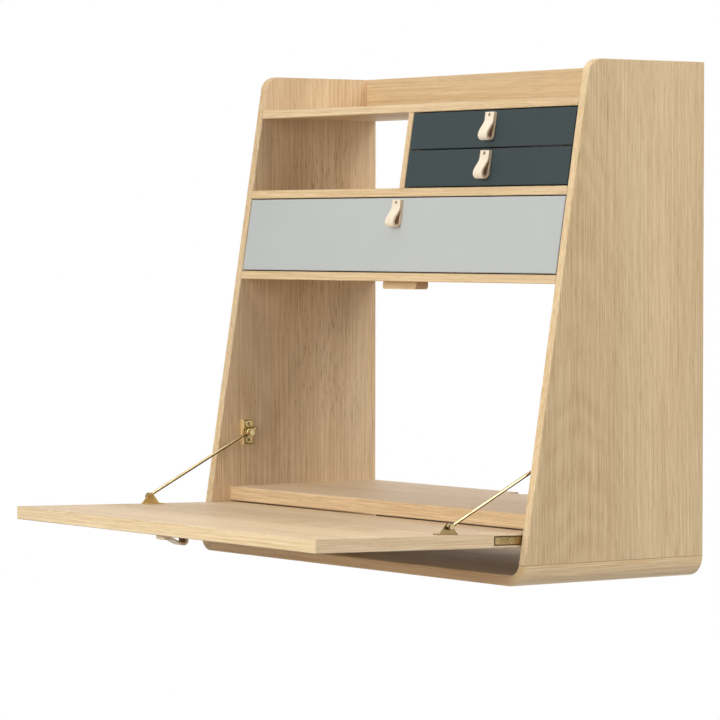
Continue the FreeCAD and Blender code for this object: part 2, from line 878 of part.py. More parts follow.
def stay_plate():
    """The right-hand plate on the side, with a lip along its front edge and the stud of the post."""
    front = post_depth + plate_reach
    half = plate_height / 2
    low = post_height - half
    high = post_height + half
    face = inner_half - plate_thickness
    plate = block(face, inner_half, front - plate_width, front, low, high)

    def back_corner(edge):
        points = ends(edge)
        return runs_across(edge) and abs(points[0].y + front - plate_width) < same_place

    plate = rounded(plate, plate_corner_radius, back_corner)
    lip = block(inner_half - plate_lip_height, inner_half, front - plate_thickness, front, low, high)
    stud_end = at(face - stud_length, post_depth, post_height)
    stud = cylinder(stud_radius, stud_end, at(face, post_depth, post_height))
    whole = plate.fuse([lip, stud]).removeSplitter()
    return cut_all(whole, plate_screws(screw_fit_gap))


# Drawers


bay_middle = (middle_shelf_height + top_shelf_height - shelf_thickness) / 2
upper_front_foot = bay_middle + drawer_gap / 2
drawer_back = drawer_stop_inset + drawer_stop_depth + drawer_stop_gap

# Each drawer fills a bay from one X to another; its front and its box start at their own heights.
drawers = {
    "upper_drawer": {
        "bay": (divider_thickness / 2, inner_half),
        "front": (upper_front_foot, top_shelf_height - shelf_thickness - drawer_gap),
        "box": (upper_front_foot, small_box_height),
    },
    "lower_drawer": {
        "bay": (divider_thickness / 2, inner_half),
        "front": (middle_shelf_height + drawer_gap, bay_middle - drawer_gap / 2),
        "box": (middle_shelf_height + drawer_slide_gap, small_box_height),
    },
    "wide_drawer": {
        "bay": (-inner_half, inner_half),
        "front": (lower_shelf_height + drawer_gap, middle_shelf_height - shelf_thickness - drawer_gap),
        "box": (lower_shelf_height + drawer_slide_gap, wide_box_height),
    },
}


def drawer_bottom(sizes, gap=0.0):
    """The thin bottom of a drawer, or with a gap the grooves that hold it on four sides."""
    first, last = sizes["bay"]
    foot = sizes["box"][0] + drawer_bottom_rise - gap
    head = foot + drawer_bottom_thickness + 2 * gap
    back = drawer_back + drawer_side_thickness - drawer_groove - gap
    behind = drawer_front_thickness - drawer_groove - gap
    inset = drawer_side_gap + drawer_side_thickness - drawer_groove - gap
    outline = [
        (back, foot),
        (front_depth(foot, behind), foot),
        (front_depth(head, behind), head),
        (back, head),
    ]
    return board(outline, first + inset, last - inset)


def drawer_pull_place(sizes):
    """Where a drawer's pull starts, and its directions down the slanted front and out of it."""
    first, last = sizes["bay"]
    top = sizes["front"][1]
    down = Vector(0, -math.sin(lean), -math.cos(lean))
    out = Vector(0, -math.cos(lean), math.sin(lean))
    origin = at((first + last) / 2, front_depth(top), top) + down * pull_drop
    return origin, down, out


def drawer_front(sizes):
    """The painted front, flush with the slanted front of the case."""
    first, last = sizes["bay"]
    foot, head = sizes["front"]
    thick = drawer_front_thickness
    outline = [
        (front_depth(foot, thick), foot),
        (front_depth(foot), foot),
        (front_depth(head), head),
        (front_depth(head, thick), head),
    ]
    plain = board(outline, first + drawer_gap, last - drawer_gap)
    tools = [drawer_bottom(sizes, glue_gap), pull_screw(*drawer_pull_place(sizes), pull_screw_gap)]
    return cut_all(eased(plain, edge_ease, on_front), tools)


def drawer_sides(sizes):
    """The two sides, which slide on a shelf or on runners and butt against the slanted front."""
    first, last = sizes["bay"]
    foot, height = sizes["box"]
    head = foot + height
    thick = drawer_front_thickness
    outline = [
        (drawer_back, foot),
        (front_depth(foot, thick), foot),
        (front_depth(head, thick), head),
        (drawer_back, head),
    ]
    outer = (first + drawer_side_gap, last - drawer_side_gap - drawer_side_thickness)
    grooves = drawer_bottom(sizes, glue_gap)
    return [board(outline, x, x + drawer_side_thickness).cut(grooves) for x in outer]


def drawer_back_board(sizes):
    """The back, between the two sides."""
    first, last = sizes["bay"]
    foot, height = sizes["box"]
    inset = drawer_side_gap + drawer_side_thickness
    front_face = drawer_back + drawer_side_thickness
    plain = block(first + inset, last - inset, drawer_back, front_face, foot, foot + height)
    return plain.cut(drawer_bottom(sizes, glue_gap))


def drawer_runners():
    """The strips that carry the upper small drawer."""
    sizes = drawers["upper_drawer"]
    first, last = sizes["bay"]
    head = sizes["box"][0] - drawer_slide_gap
    foot = head - runner_height
    behind = drawer_front_thickness + runner_end_gap
    outline = [(0, foot), (front_depth(foot, behind), foot), (front_depth(head, behind), head), (0, head)]
    return [board(outline, x, x + runner_width) for x in (first, last - runner_width)]


def drawer_stops():
    """The blocks behind the drawers, on the shelves and on the rear ends of the runners."""
    stops = []
    back = drawer_stop_inset
    for name, sizes in drawers.items():
        first, last = sizes["bay"]
        foot = sizes["box"][0] - drawer_slide_gap
        head = foot + drawer_stop_height
        width = drawer_stop_width
        share = (last - first) * drawer_stop_share
        starts = (first + share, last - share - width)
        if name == "upper_drawer":
            width = runner_width
            starts = (first, last - width)
        stops += [block(x, x + width, back, back + drawer_stop_depth, foot, head) for x in starts]
    return stops


# Pieces


def case_pieces():
    """The fixed pieces."""
    right_panel = side_panel()
    right_corner = bottom_corner()
    right_leaf = case_leaf()
    right_plate = stay_plate()
    brass = leaf_screws(inner_half, -1) + plate_screws()
    screws = [twin for piece in brass for twin in both(piece)]
    splines = [twin for piece in corner_splines() for twin in both(piece)]
    return {
        "left_side_panel": mirrored(right_panel),
        "right_side_panel": right_panel,
        "left_bottom_corner": mirrored(right_corner),
        "right_bottom_corner": right_corner,
        "bottom_panel": bottom_panel(),
        "deck_board": deck_board(),
        "lower_shelf": shelf(lower_shelf_height),
        "middle_shelf": shelf(middle_shelf_height),
        "top_shelf": shelf(top_shelf_height),
        "niche_divider": niche_divider(),
        "back_rail": back_rail(),
        "flap_stop_block": stop_block(),
        "drawer_runners": Part.makeCompound(drawer_runners()),
        "drawer_stops": Part.makeCompound(drawer_stops()),
        "hanger_plates": Part.makeCompound([hanger_plate(x) for x in hanger_xs]),
        "hanger_screws": Part.makeCompound([piece for x in hanger_xs for piece in hanger_screws(x)]),
        "case_dowels": Part.makeCompound(dowels),
        "corner_splines": Part.makeCompound(splines),
        "left_case_hinge_leaf": mirrored(right_leaf),
        "right_case_hinge_leaf": right_leaf,
        "hinge_pins": Part.makeCompound(both(hinge_pin())),
        "left_stay_plate": mirrored(right_plate),
        "right_stay_plate": right_plate,
        "case_brass_screws": Part.makeCompound(screws),
    }


def flap_pieces():
    """The flap and all that swings with it."""
    right_leaf = flap_leaf()
    right_bracket = stay_bracket()
    brass = [raised(piece) for piece in leaf_screws(flap_half, 1) + bracket_screws()]
    screws = [twin for piece in brass for twin in both(piece)]
    return {
        "flap_board": flap_board(),
        "left_flap_hinge_leaf": mirrored(right_leaf),
        "right_flap_hinge_leaf": right_leaf,
        "left_stay_bracket": mirrored(right_bracket),
        "right_stay_bracket": right_bracket,
        "stay_rivets": Part.makeCompound(both(stay_rivet())),
        "flap_brass_screws": Part.makeCompound(screws),
        "flap_pull": raised(pull_strap(*flap_pull_place)),
        "flap_pull_screw": raised(pull_screw(*flap_pull_place)),
    }


def stay_pieces():
    """The rods with their stops, and the posts with their brake screws."""
    pieces = {}
    makers = {
        "stay_rod": stay_rod,
        "rod_stop": rod_stop,
        "stay_post": stay_post,
        "brake_screw": brake_screw,
    }
    for name, maker in makers.items():
        right = maker()
        pieces[f"left_{name}"] = mirrored(right)
        pieces[f"right_{name}"] = right
    return pieces


def drawer_pieces():
    """Three drawers, each with a front, a box and a pull."""
    pieces = {}
    for name, sizes in drawers.items():
        place = drawer_pull_place(sizes)
        pieces[f"{name}_front"] = drawer_front(sizes)
        pieces[f"{name}_sides"] = Part.makeCompound(drawer_sides(sizes))
        pieces[f"{name}_back"] = drawer_back_board(sizes)
        pieces[f"{name}_bottom"] = drawer_bottom(sizes)
        pieces[f"{name}_pull"] = pull_strap(*place)
        pieces[f"{name}_pull_screw"] = pull_screw(*place)
    return pieces


pieces = case_pieces() | flap_pieces() | stay_pieces() | drawer_pieces()
os.makedirs("parts", exist_ok=True)
for name, shape in pieces.items():
    placed = shape.translated(Vector(0, 0, -hanger_height))
    placed.exportStep(f"parts/{name}.step")
print(f"{len(pieces)} pieces, {sum(len(shape.Solids) for shape in pieces.values())} solids")
print(f"flap reach {flap_reach:.2f}, front edge {flap_front:.2f} from the wall, rod span {rod_span:.2f}")
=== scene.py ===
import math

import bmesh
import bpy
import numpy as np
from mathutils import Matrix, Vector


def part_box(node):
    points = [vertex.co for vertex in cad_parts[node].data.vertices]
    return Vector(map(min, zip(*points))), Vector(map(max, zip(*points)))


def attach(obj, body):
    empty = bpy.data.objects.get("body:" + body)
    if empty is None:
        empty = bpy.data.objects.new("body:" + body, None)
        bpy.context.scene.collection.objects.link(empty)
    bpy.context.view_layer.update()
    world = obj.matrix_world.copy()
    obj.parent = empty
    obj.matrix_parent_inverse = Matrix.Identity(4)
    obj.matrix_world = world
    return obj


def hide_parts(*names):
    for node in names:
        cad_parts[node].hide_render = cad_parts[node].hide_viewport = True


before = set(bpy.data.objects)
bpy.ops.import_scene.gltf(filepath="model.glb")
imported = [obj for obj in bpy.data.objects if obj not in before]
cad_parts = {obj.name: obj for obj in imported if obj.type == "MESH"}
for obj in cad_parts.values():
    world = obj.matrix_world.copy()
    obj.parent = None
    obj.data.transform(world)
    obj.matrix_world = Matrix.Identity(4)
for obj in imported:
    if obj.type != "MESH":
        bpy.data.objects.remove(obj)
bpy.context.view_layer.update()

# %% [markdown]
# # A fold down wall desk in oak, lacquer, leather and brass
#
# The construction of this desk is already there: every board, hinge and rod was loaded above as a frame
# that is never moved or reshaped. This lesson gives each piece its finish, swaps the plain leather loops and
# screws for modelled ones and adds a ring under four of the screws. Lengths are in metres, +Z is up, the wall
# is the plane Y = 0 and the desk faces -Y. We first read the height of the underside of the case.

case_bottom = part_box("bottom_panel")[0].z

# %% [markdown]
# ## The camera
#
# A product photograph of furniture is usually taken from far away with a long lens, so that upright lines
# stay upright. This one stands about five metres off, to the right of the desk, a little above the writing
# surface and tilted down by less than two degrees. A long lens is chosen here for the same reason.

# %% Place the camera
camera_place = Vector((3.9629, -3.0983, case_bottom + 0.4154))
camera_turn_deg = (88.1846, -0.0534, 54.4551)
camera_lens_mm = 193.539

camera_data = bpy.data.cameras.new("camera")
camera_data.lens = camera_lens_mm
camera = bpy.data.objects.new("camera", camera_data)
camera.location = camera_place
camera.rotation_euler = [math.radians(angle) for angle in camera_turn_deg]
bpy.context.scene.collection.objects.link(camera)
bpy.context.scene.camera = camera
bpy.context.scene.view_settings.view_transform = "Standard"
print("camera", round(camera_place.length, 2), "m from the wall hangers")

# %% [markdown]
# ## A small kit for shader nodes
#
# Materials here are built from nodes in code. Writing out every link by hand would hide the idea of each
# material, so small helpers do it. One places a node and fills or links its inputs, and the next ones wrap
# the nodes that come up most: sums, smooth steps, blends and noise that is drawn out along an axis. The rest
# start a material or a node group, which is a part of a material that others can share, put a group to use,
# turn a height into dents and wire a group up to the shader.

# %% Node helpers
def place(tree, kind, inputs=None, **options):
    """Add a node, set its options, and give each named input a value or a link."""
    node = tree.nodes.new(kind)
    for name, value in options.items():
        setattr(node, name, value)
    for key, value in (inputs or {}).items():
        if isinstance(value, bpy.types.NodeSocket):
            tree.links.new(value, node.inputs[key])
        else:
            node.inputs[key].default_value = value
    return node


def sum_up(tree, operation, *terms, clamp=False):
    """One Math node, as the value that it puts out."""
    node = place(tree, "ShaderNodeMath", dict(enumerate(terms)), operation=operation, use_clamp=clamp)
    return node.outputs[0]


def fade(tree, value, start, end, low=0.0, high=1.0):
    """A smooth step from low to high while the value goes from start to end."""
    inputs = {"Value": value, "From Min": start, "From Max": end, "To Min": low, "To Max": high}
    return place(tree, "ShaderNodeMapRange", inputs, interpolation_type="SMOOTHSTEP").outputs[0]


def blend_values(tree, factor, first, second):
    """A number between two numbers."""
    return place(tree, "ShaderNodeMix", {0: factor, 2: first, 3: second}, data_type="FLOAT").outputs[0]


def blend_colours(tree, factor, first, second):
    """A colour between two colours."""
    return place(tree, "ShaderNodeMix", {0: factor, 6: first, 7: second}, data_type="RGBA").outputs[2]


def stretched_noise(tree, where, scales, detail=2.0):
    """Noise drawn out along an axis: a small scale gives long marks in that direction."""
    scaled = place(tree, "ShaderNodeVectorMath", {0: where, 1: scales}, operation="MULTIPLY").outputs[0]
    return place(tree, "ShaderNodeTexNoise", {"Vector": scaled, "Scale": 1.0, "Detail": detail}).outputs[0]


def start_group(name, inputs, outputs):
    """A new node group with named sockets, given as label: default, and label: socket type."""
    kinds = {float: "NodeSocketFloat", tuple: "NodeSocketColor", Vector: "NodeSocketVector"}
    group = bpy.data.node_groups.new(name, "ShaderNodeTree")
    for label, default in inputs.items():
        socket = group.interface.new_socket(label, in_out="INPUT", socket_type=kinds[type(default)])
        socket.default_value = default
    for label, kind in outputs.items():
        group.interface.new_socket(label, in_out="OUTPUT", socket_type=kind)
    return group, group.nodes.new("NodeGroupInput").outputs, group.nodes.new("NodeGroupOutput").inputs


def start_material(name):
    """A material with nodes, its shader and its tree."""
    material = bpy.data.materials.new(name)
    material.use_nodes = True
    tree = material.node_tree
    return material, tree, tree.nodes["Principled BSDF"]


def use_group(tree, group, **values):
    """Place a node group in a material and set its inputs, where Ring_Width stands for Ring Width."""
    node = place(tree, "ShaderNodeGroup", node_tree=group)
    for label, value in values.items():
        socket = node.inputs[label.replace("_", " ")]
        if isinstance(value, bpy.types.NodeSocket):
            tree.links.new(value, socket)
        else:
            socket.default_value = value
    return node.outputs


def add_bump(tree, shader, height, distance, strength=1.0):
    """Turn a height, drawn by a material, into dents of that depth."""
    inputs = {"Height": height, "Distance": distance, "Strength": strength}
    bump = place(tree, "ShaderNodeBump", inputs)
    tree.links.new(bump.outputs[0], shader.inputs["Normal"])


def wire_up(tree, shader, surface, gloss, depth, strength=1.0):
    """Let a group drive the shader's colour, roughness and dents, and set how much the surface mirrors."""
    tree.links.new(surface["Color"], shader.inputs["Base Color"])
    tree.links.new(surface["Roughness"], shader.inputs["Roughness"])
    add_bump(tree, shader, surface["Height"], depth, strength)
    shader.inputs["Specular IOR Level"].default_value = gloss


print("node helpers ready")

# %% [markdown]
# ## Oak
#
# The boards are faced with oak veneer that was oiled or lacquered matt. A tree's yearly rings are cones
# inside each other, and a sheet of veneer is a slice through them: far from the middle of the tree the
# slice shows straight stripes, and near it the stripes close into pointed arches. A picture of wood could
# be wrapped on the boards, but it would show seams at each edge. So the rings are worked out in space, from
# how far each point lies from a slightly tilted pith. Pores, streaks and broad bands go on top.
#
# The narrow edges of the boards carry strips of solid oak, which are paler and yellower than the faces. The
# group finds them by the direction that a face points in. It wants the place and the facing of each point
# turned so that X runs across the grain, Y through the board and Z along the grain. Inside the group all
# lengths are in millimetres, and a noise's waves are counted per millimetre across, through and along.

# %% Start the oak group
millimetres = 1000.0

oak_inputs = {
    "Place": Vector((0, 0, 0)),
    "Facing": Vector((0, 1, 0)),
    "Face Pale": (0.800, 0.606, 0.368, 1),
    "Face Deep": (0.550, 0.380, 0.200, 1),
    "Edge Pale": (0.900, 0.680, 0.405, 1),
    "Edge Deep": (0.700, 0.480, 0.250, 1),
    "Seed": 0.0,
    "Heart": 0.0,
    "Pith Depth": 30.0,
    "Pith Slope": 0.03,
    "Ring Width": 4.2,
    "Contrast": 1.0,
    "Marks": 0.0,
    "Mark Side": 0.0,
    "Mark Height": 0.0,
    "Grey Drift": 0.10,
    "End Tone": 0.62,
    "Seam Height": 9000.0,
}
colour_value_height = {
    "Color": "NodeSocketColor",
    "Roughness": "NodeSocketFloat",
    "Height": "NodeSocketFloat",
}
oak_group, inside, outside = start_group("oak board", oak_inputs, colour_value_height)
tree = oak_group
print("oak group takes", len(oak_inputs), "inputs")

# %% Tell faces, edges and ends apart
edge_turn = (0.72, 0.58)
end_turn = (0.68, 0.74)
seed_step = 331.7

facing = place(tree, "ShaderNodeVectorMath", {0: inside["Facing"]}, operation="ABSOLUTE").outputs[0]
facing = place(tree, "ShaderNodeSeparateXYZ", {0: facing}).outputs
edge_mask = fade(tree, facing["Y"], *edge_turn)
end_mask = fade(tree, facing["Z"], *end_turn)

to_millimetres = {0: inside["Place"], 3: millimetres}
scaled = place(tree, "ShaderNodeVectorMath", to_millimetres, operation="SCALE").outputs[0]
axes = place(tree, "ShaderNodeSeparateXYZ", {0: scaled}).outputs
across = blend_values(tree, end_mask, axes["X"], axes["Z"])
along = blend_values(tree, end_mask, axes["Z"], axes["X"])
seed_shift = sum_up(tree, "MULTIPLY", inside["Seed"], seed_step)
shifted = [sum_up(tree, "ADD", value, seed_shift) for value in (across, axes["Y"], along)]
where = place(tree, "ShaderNodeCombineXYZ", dict(enumerate(shifted))).outputs[0]
print("grain axes, with", len(tree.nodes), "nodes so far")

# %% Grow the yearly rings
noise_middle = 0.5
wander_waves = (0.008, 0.008, 0.0014)
sway_across = 18.0
sway_through = 14.0
uneven_waves = 0.31
uneven_rings = 3.2
early_rise = (0.0, 0.35)
early_fall = (1.0, 0.45)
ring_tone_span = 0.7
ring_tone_least = 0.3

wander = sum_up(tree, "SUBTRACT", stretched_noise(tree, where, wander_waves), noise_middle)
sway = sum_up(tree, "MULTIPLY", wander, sway_across)
from_heart = sum_up(tree, "ADD", sum_up(tree, "SUBTRACT", across, inside["Heart"]), sway)
pith = sum_up(tree, "MULTIPLY_ADD", inside["Pith Slope"], along, inside["Pith Depth"])
through = sum_up(tree, "ADD", axes["Y"], sum_up(tree, "MULTIPLY", wander, sway_through))
pith_squared = sum_up(tree, "POWER", sum_up(tree, "ADD", pith, through), 2.0)
radius = sum_up(tree, "SQRT", sum_up(tree, "MULTIPLY_ADD", from_heart, from_heart, pith_squared))
ring = sum_up(tree, "DIVIDE", radius, inside["Ring Width"])
uneven_inputs = {"W": ring, "Scale": uneven_waves, "Detail": 1.0}
uneven = place(tree, "ShaderNodeTexNoise", uneven_inputs, noise_dimensions="1D").outputs[0]
ring = sum_up(tree, "MULTIPLY_ADD", uneven, uneven_rings, ring)
grown = sum_up(tree, "FRACT", ring)
early = sum_up(tree, "MULTIPLY", fade(tree, grown, *early_rise), fade(tree, grown, *early_fall))
ring_name = sum_up(tree, "FLOOR", ring)
ring_tone = place(tree, "ShaderNodeTexWhiteNoise", {"W": ring_name}, noise_dimensions="1D").outputs[0]
ring_tone = sum_up(tree, "MULTIPLY_ADD", ring_tone, ring_tone_span, ring_tone_least)
rings = sum_up(tree, "MULTIPLY", early, ring_tone)
print("yearly rings, with", len(tree.nodes), "nodes so far")

# %% [markdown]
# On top of the rings lie the marks that the eye reads as oak: long lines, short dashes, broad bands and open
# pores. One inner side also shows a patch of dark flecks, the ends of rays that the knife cut. They only
# appear around the place that Mark Side and Mark Height name. All marks sway with the rings. Last comes the
# fine dark seam where the panel stands on a rounded corner block. It lies just under the Seam Height.

# %% Draw the fine marks
line_waves = (0.42, 0.42, 0.0030)
dash_waves = (0.95, 0.95, 0.016)
band_waves = (0.030, 0.030, 0.0012)
drift_waves = (0.014, 0.014, 0.0009)
pore_waves = (1.5, 1.5, 0.06)
pore_cut = (0.56, 0.68)
pore_early_gain = 0.75
pore_late = 0.25
fleck_waves = (0.50, 0.50, 0.055)
fleck_cut = (0.60, 0.70)
fleck_reach_across = (75.0, 25.0)
fleck_reach_along = (240.0, 160.0)

swayed = [sum_up(tree, "ADD", shifted[0], sway), *shifted[1:]]
grain = place(tree, "ShaderNodeCombineXYZ", dict(enumerate(swayed))).outputs[0]
lines = stretched_noise(tree, grain, line_waves)
dashes = stretched_noise(tree, grain, dash_waves)
bands = stretched_noise(tree, grain, band_waves)
drift = stretched_noise(tree, grain, drift_waves, 1.0)
pores = fade(tree, stretched_noise(tree, grain, pore_waves, 1.0), *pore_cut)
pores = sum_up(tree, "MULTIPLY", pores, sum_up(tree, "MULTIPLY_ADD", early, pore_early_gain, pore_late))
flecks = fade(tree, stretched_noise(tree, grain, fleck_waves, 1.0), *fleck_cut)
mark_offset = sum_up(tree, "ABSOLUTE", sum_up(tree, "SUBTRACT", across, inside["Mark Side"]))
mark_rise = sum_up(tree, "ABSOLUTE", sum_up(tree, "SUBTRACT", along, inside["Mark Height"]))
beside, beyond = fade(tree, mark_offset, *fleck_reach_across), fade(tree, mark_rise, *fleck_reach_along)
flecks = sum_up(tree, "MULTIPLY", flecks, sum_up(tree, "MULTIPLY", beside, beyond))
flecks = sum_up(tree, "MULTIPLY", flecks, inside["Marks"])
print("fine marks, with", len(tree.nodes), "nodes so far")

# %% Add the marks up to one tone
band_weight = 0.62
ring_middle = 0.25
ring_weights = (0.05, 0.17)
ring_reach = (60.0, 15.0)
line_weight = 1.25
dash_weight = 1.55
pore_weight = 0.42
heart_reach = (95.0, 25.0)
heart_weights = (0.0, 0.24)
edge_contrast = 0.35
middle_tone = 0.34
deepest_tone = 1.5
palest_tone = -0.2

tone = sum_up(tree, "MULTIPLY", sum_up(tree, "SUBTRACT", bands, noise_middle), band_weight)
heart_distance = sum_up(tree, "ABSOLUTE", from_heart)
near_heart = fade(tree, heart_distance, *ring_reach, *ring_weights)
tone = sum_up(tree, "MULTIPLY_ADD", sum_up(tree, "SUBTRACT", rings, ring_middle), near_heart, tone)
tone = sum_up(tree, "MULTIPLY_ADD", sum_up(tree, "SUBTRACT", lines, noise_middle), line_weight, tone)
tone = sum_up(tree, "MULTIPLY_ADD", sum_up(tree, "SUBTRACT", dashes, noise_middle), dash_weight, tone)
tone = sum_up(tree, "MULTIPLY_ADD", pores, pore_weight, tone)
heart_band = fade(tree, heart_distance, *heart_reach, *heart_weights)
edge_gain = sum_up(tree, "MULTIPLY_ADD", edge_mask, edge_contrast, 1.0)
contrast = sum_up(tree, "MULTIPLY", inside["Contrast"], edge_gain)
tone = sum_up(tree, "MULTIPLY_ADD", tone, contrast, sum_up(tree, "ADD", heart_band, middle_tone))
end_tone = sum_up(tree, "MULTIPLY", end_mask, inside["End Tone"])
tone = sum_up(tree, "ADD", sum_up(tree, "ADD", tone, end_tone), flecks)
tone = sum_up(tree, "MAXIMUM", sum_up(tree, "MINIMUM", tone, deepest_tone), palest_tone)
print("one tone, with", len(tree.nodes), "nodes so far")

# %% Turn the tone into colour, gloss and relief
drift_gain = 2.0
end_greying = -0.22
seam_fade = (0.9, 0.4)
seam_strength = 0.7
seam_colour = (0.14, 0.085, 0.045, 1)
roughness_least = 0.47
roughness_by_tone = 0.14
roughness_by_pores = 0.10
pore_height = -0.7
ring_height = -0.3

pale = blend_colours(tree, edge_mask, inside["Face Pale"], inside["Edge Pale"])
deep = blend_colours(tree, edge_mask, inside["Face Deep"], inside["Edge Deep"])
tones = {0: tone, 6: pale, 7: deep}
oak_colour = place(tree, "ShaderNodeMix", tones, data_type="RGBA", clamp_factor=False).outputs[2]
drift_amount = sum_up(tree, "MULTIPLY", sum_up(tree, "SUBTRACT", drift, noise_middle), inside["Grey Drift"])
saturation = sum_up(tree, "MULTIPLY_ADD", end_tone, end_greying, 1.0)
saturation = sum_up(tree, "MULTIPLY_ADD", drift_amount, drift_gain, saturation)
greyed = {"Saturation": saturation, "Color": oak_colour}
oak_colour = place(tree, "ShaderNodeHueSaturation", greyed).outputs[0]
seam = fade(tree, sum_up(tree, "SUBTRACT", inside["Seam Height"], axes["Y"]), *seam_fade)
oak_colour = blend_colours(tree, sum_up(tree, "MULTIPLY", seam, seam_strength), oak_colour, seam_colour)
oak_roughness = sum_up(tree, "MULTIPLY_ADD", pores, roughness_by_pores, roughness_least)
oak_roughness = sum_up(tree, "MULTIPLY_ADD", tone, roughness_by_tone, oak_roughness)
oak_height = sum_up(tree, "MULTIPLY_ADD", pores, pore_height, sum_up(tree, "MULTIPLY", rings, ring_height))
for label, value in (("Color", oak_colour), ("Roughness", oak_roughness), ("Height", oak_height)):
    tree.links.new(value, outside[label])
print("oak group has", len(tree.nodes), "nodes")

# %% [markdown]
# ## One oak for each board
#
# On a real desk every board is cut from another stretch of veneer, so no two show the same figure. Each
# board therefore gets a material of its own, from the same group, with another seed and another heart line.
# The coordinates are the board's own, taken in object space: they ride with the board when the flap swings
# or a drawer slides, so the grain never swims over the wood.

# %% Oak board helpers
oak_relief = 0.00012
oak_gloss = 0.32


def grain_axes(tree, across, through, along):
    """The place and facing of a point, turned to across, through and along the grain."""
    coordinates = place(tree, "ShaderNodeTexCoord").outputs
    turned = []
    for source in ("Object", "Normal"):
        parts = place(tree, "ShaderNodeSeparateXYZ", {0: coordinates[source]}).outputs
        order = {0: parts[across], 1: parts[through], 2: parts[along]}
        turned.append(place(tree, "ShaderNodeCombineXYZ", order).outputs[0])
    return turned


def oak_board(name, axes, **values):
    """A board's oak. The axes name its directions across, through and along the grain."""
    material, tree, shader = start_material(f"oak {name}")
    spot, facing = grain_axes(tree, *axes)
    wood = use_group(tree, oak_group, Place=spot, Facing=facing, **values)
    wire_up(tree, shader, wood, oak_gloss, oak_relief)
    return material


def finish_node(node, material):
    """Give a piece of the frame its material."""
    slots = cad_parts[node].data.materials
    slots.clear()
    slots.append(material)


print("oak boards can be made")

# %% Choose the oak of each board
UPRIGHT = ("Y", "X", "Z")
LYING = ("Y", "Z", "X")
STANDING_ACROSS = ("Z", "Y", "X")
FRONT_TO_BACK = ("X", "Z", "Y")

corner_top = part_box("right_bottom_corner")[1].z * millimetres
marks_above_bottom = 0.36
mark_height = (case_bottom + marks_above_bottom) * millimetres
corner_values = dict(
    Face_Pale=(0.860, 0.655, 0.405, 1),
    Face_Deep=(0.610, 0.430, 0.235, 1),
    Edge_Pale=(0.870, 0.655, 0.400, 1),
    Edge_Deep=(0.690, 0.480, 0.258, 1),
    Seam_Height=corner_top,
)
bright_edges = dict(Edge_Pale=(0.985, 0.770, 0.480, 1), Edge_Deep=(0.800, 0.570, 0.305, 1))
table_faces = dict(Face_Pale=(0.810, 0.630, 0.420, 1), Face_Deep=(0.560, 0.400, 0.240, 1))
left_faces = dict(Face_Pale=(0.800, 0.612, 0.400, 1), Face_Deep=(0.550, 0.385, 0.222, 1))
deck_edges = dict(Edge_Pale=(0.925, 0.700, 0.432, 1), Edge_Deep=(0.590, 0.395, 0.202, 1))
# The bottom panel's oak edge is paler, as solid oak is, and made paler still as painted light.
bottom_edges_with_painted_light = dict(Edge_Pale=(0.990, 0.705, 0.425, 1), Edge_Deep=(0.820, 0.525, 0.280, 1))
# The bottom panel's faces are greyed: a painted reflection of the pale room seen at a grazing angle.
bottom_faces_with_painted_reflection = dict(Face_Pale=(0.760, 0.605, 0.420, 1), Face_Deep=(0.530, 0.400, 0.250, 1))
side_rings = dict(Pith_Depth=80.0, Pith_Slope=0.067)
left_marks = dict(Contrast=1.1, Marks=0.75, Mark_Side=-80.0, Mark_Height=mark_height, Grey_Drift=0.15)
right_values = dict(Heart=-201.0, Ring_Width=4.6, Grey_Drift=0.04, **side_rings, **bright_edges)
left_values = dict(Heart=-175.0, Ring_Width=5.0, **side_rings, **left_marks, **left_faces)
deck_values = dict(Heart=-290.0, Pith_Depth=60.0, Contrast=0.7, **table_faces, **deck_edges)
flap_values = dict(Heart=-380.0, Pith_Depth=50.0, Pith_Slope=0.02, **bright_edges, **table_faces)
oak_boards = {
    "right_side_panel": (UPRIGHT, dict(Seed=3.0, **right_values)),
    "left_side_panel": (UPRIGHT, dict(Seed=8.0, **left_values)),
    "niche_divider": (UPRIGHT, dict(Seed=5.0, Heart=-40.0)),
    "bottom_panel": (LYING, dict(Seed=11.0, Heart=-150.0, Pith_Depth=70.0, **bottom_faces_with_painted_reflection, **bottom_edges_with_painted_light)),
    "deck_board": (LYING, dict(Seed=13.0, **deck_values)),
    "lower_shelf": (LYING, dict(Seed=17.0, Heart=-330.0)),
    "middle_shelf": (LYING, dict(Seed=19.0, Heart=-310.0)),
    "top_shelf": (LYING, dict(Seed=23.0, Heart=-280.0)),
    "flap_board": (LYING, dict(Seed=29.0, **flap_values)),
    "back_rail": (STANDING_ACROSS, dict(Seed=31.0, Heart=-400.0, Ring_Width=3.4, Contrast=0.75)),
    "flap_stop_block": (LYING, dict(Seed=37.0, Heart=-120.0, Ring_Width=3.0)),
    "drawer_runners": (FRONT_TO_BACK, dict(Seed=41.0, Heart=60.0)),
    "drawer_stops": (LYING, dict(Seed=43.0, Heart=40.0)),
    "right_bottom_corner": (FRONT_TO_BACK, dict(Seed=47.0, Heart=180.0, End_Tone=-0.5, **corner_values)),
    "left_bottom_corner": (FRONT_TO_BACK, dict(Seed=53.0, Heart=-180.0, End_Tone=0.0, **corner_values)),
}
for node, (axes, values) in oak_boards.items():
    finish_node(node, oak_board(node, axes, **values))
print(len(oak_boards), "oak boards")

# %% [markdown]
# ## Birch and beech
#
# Inside the drawers the boxes are birch plywood, and the dowels and splines in the joints are beech. Both
# are paler and quieter than oak, but they have rings and pores as well. The oak group draws them too, with
# other colours, closer tones and the same care for direction.

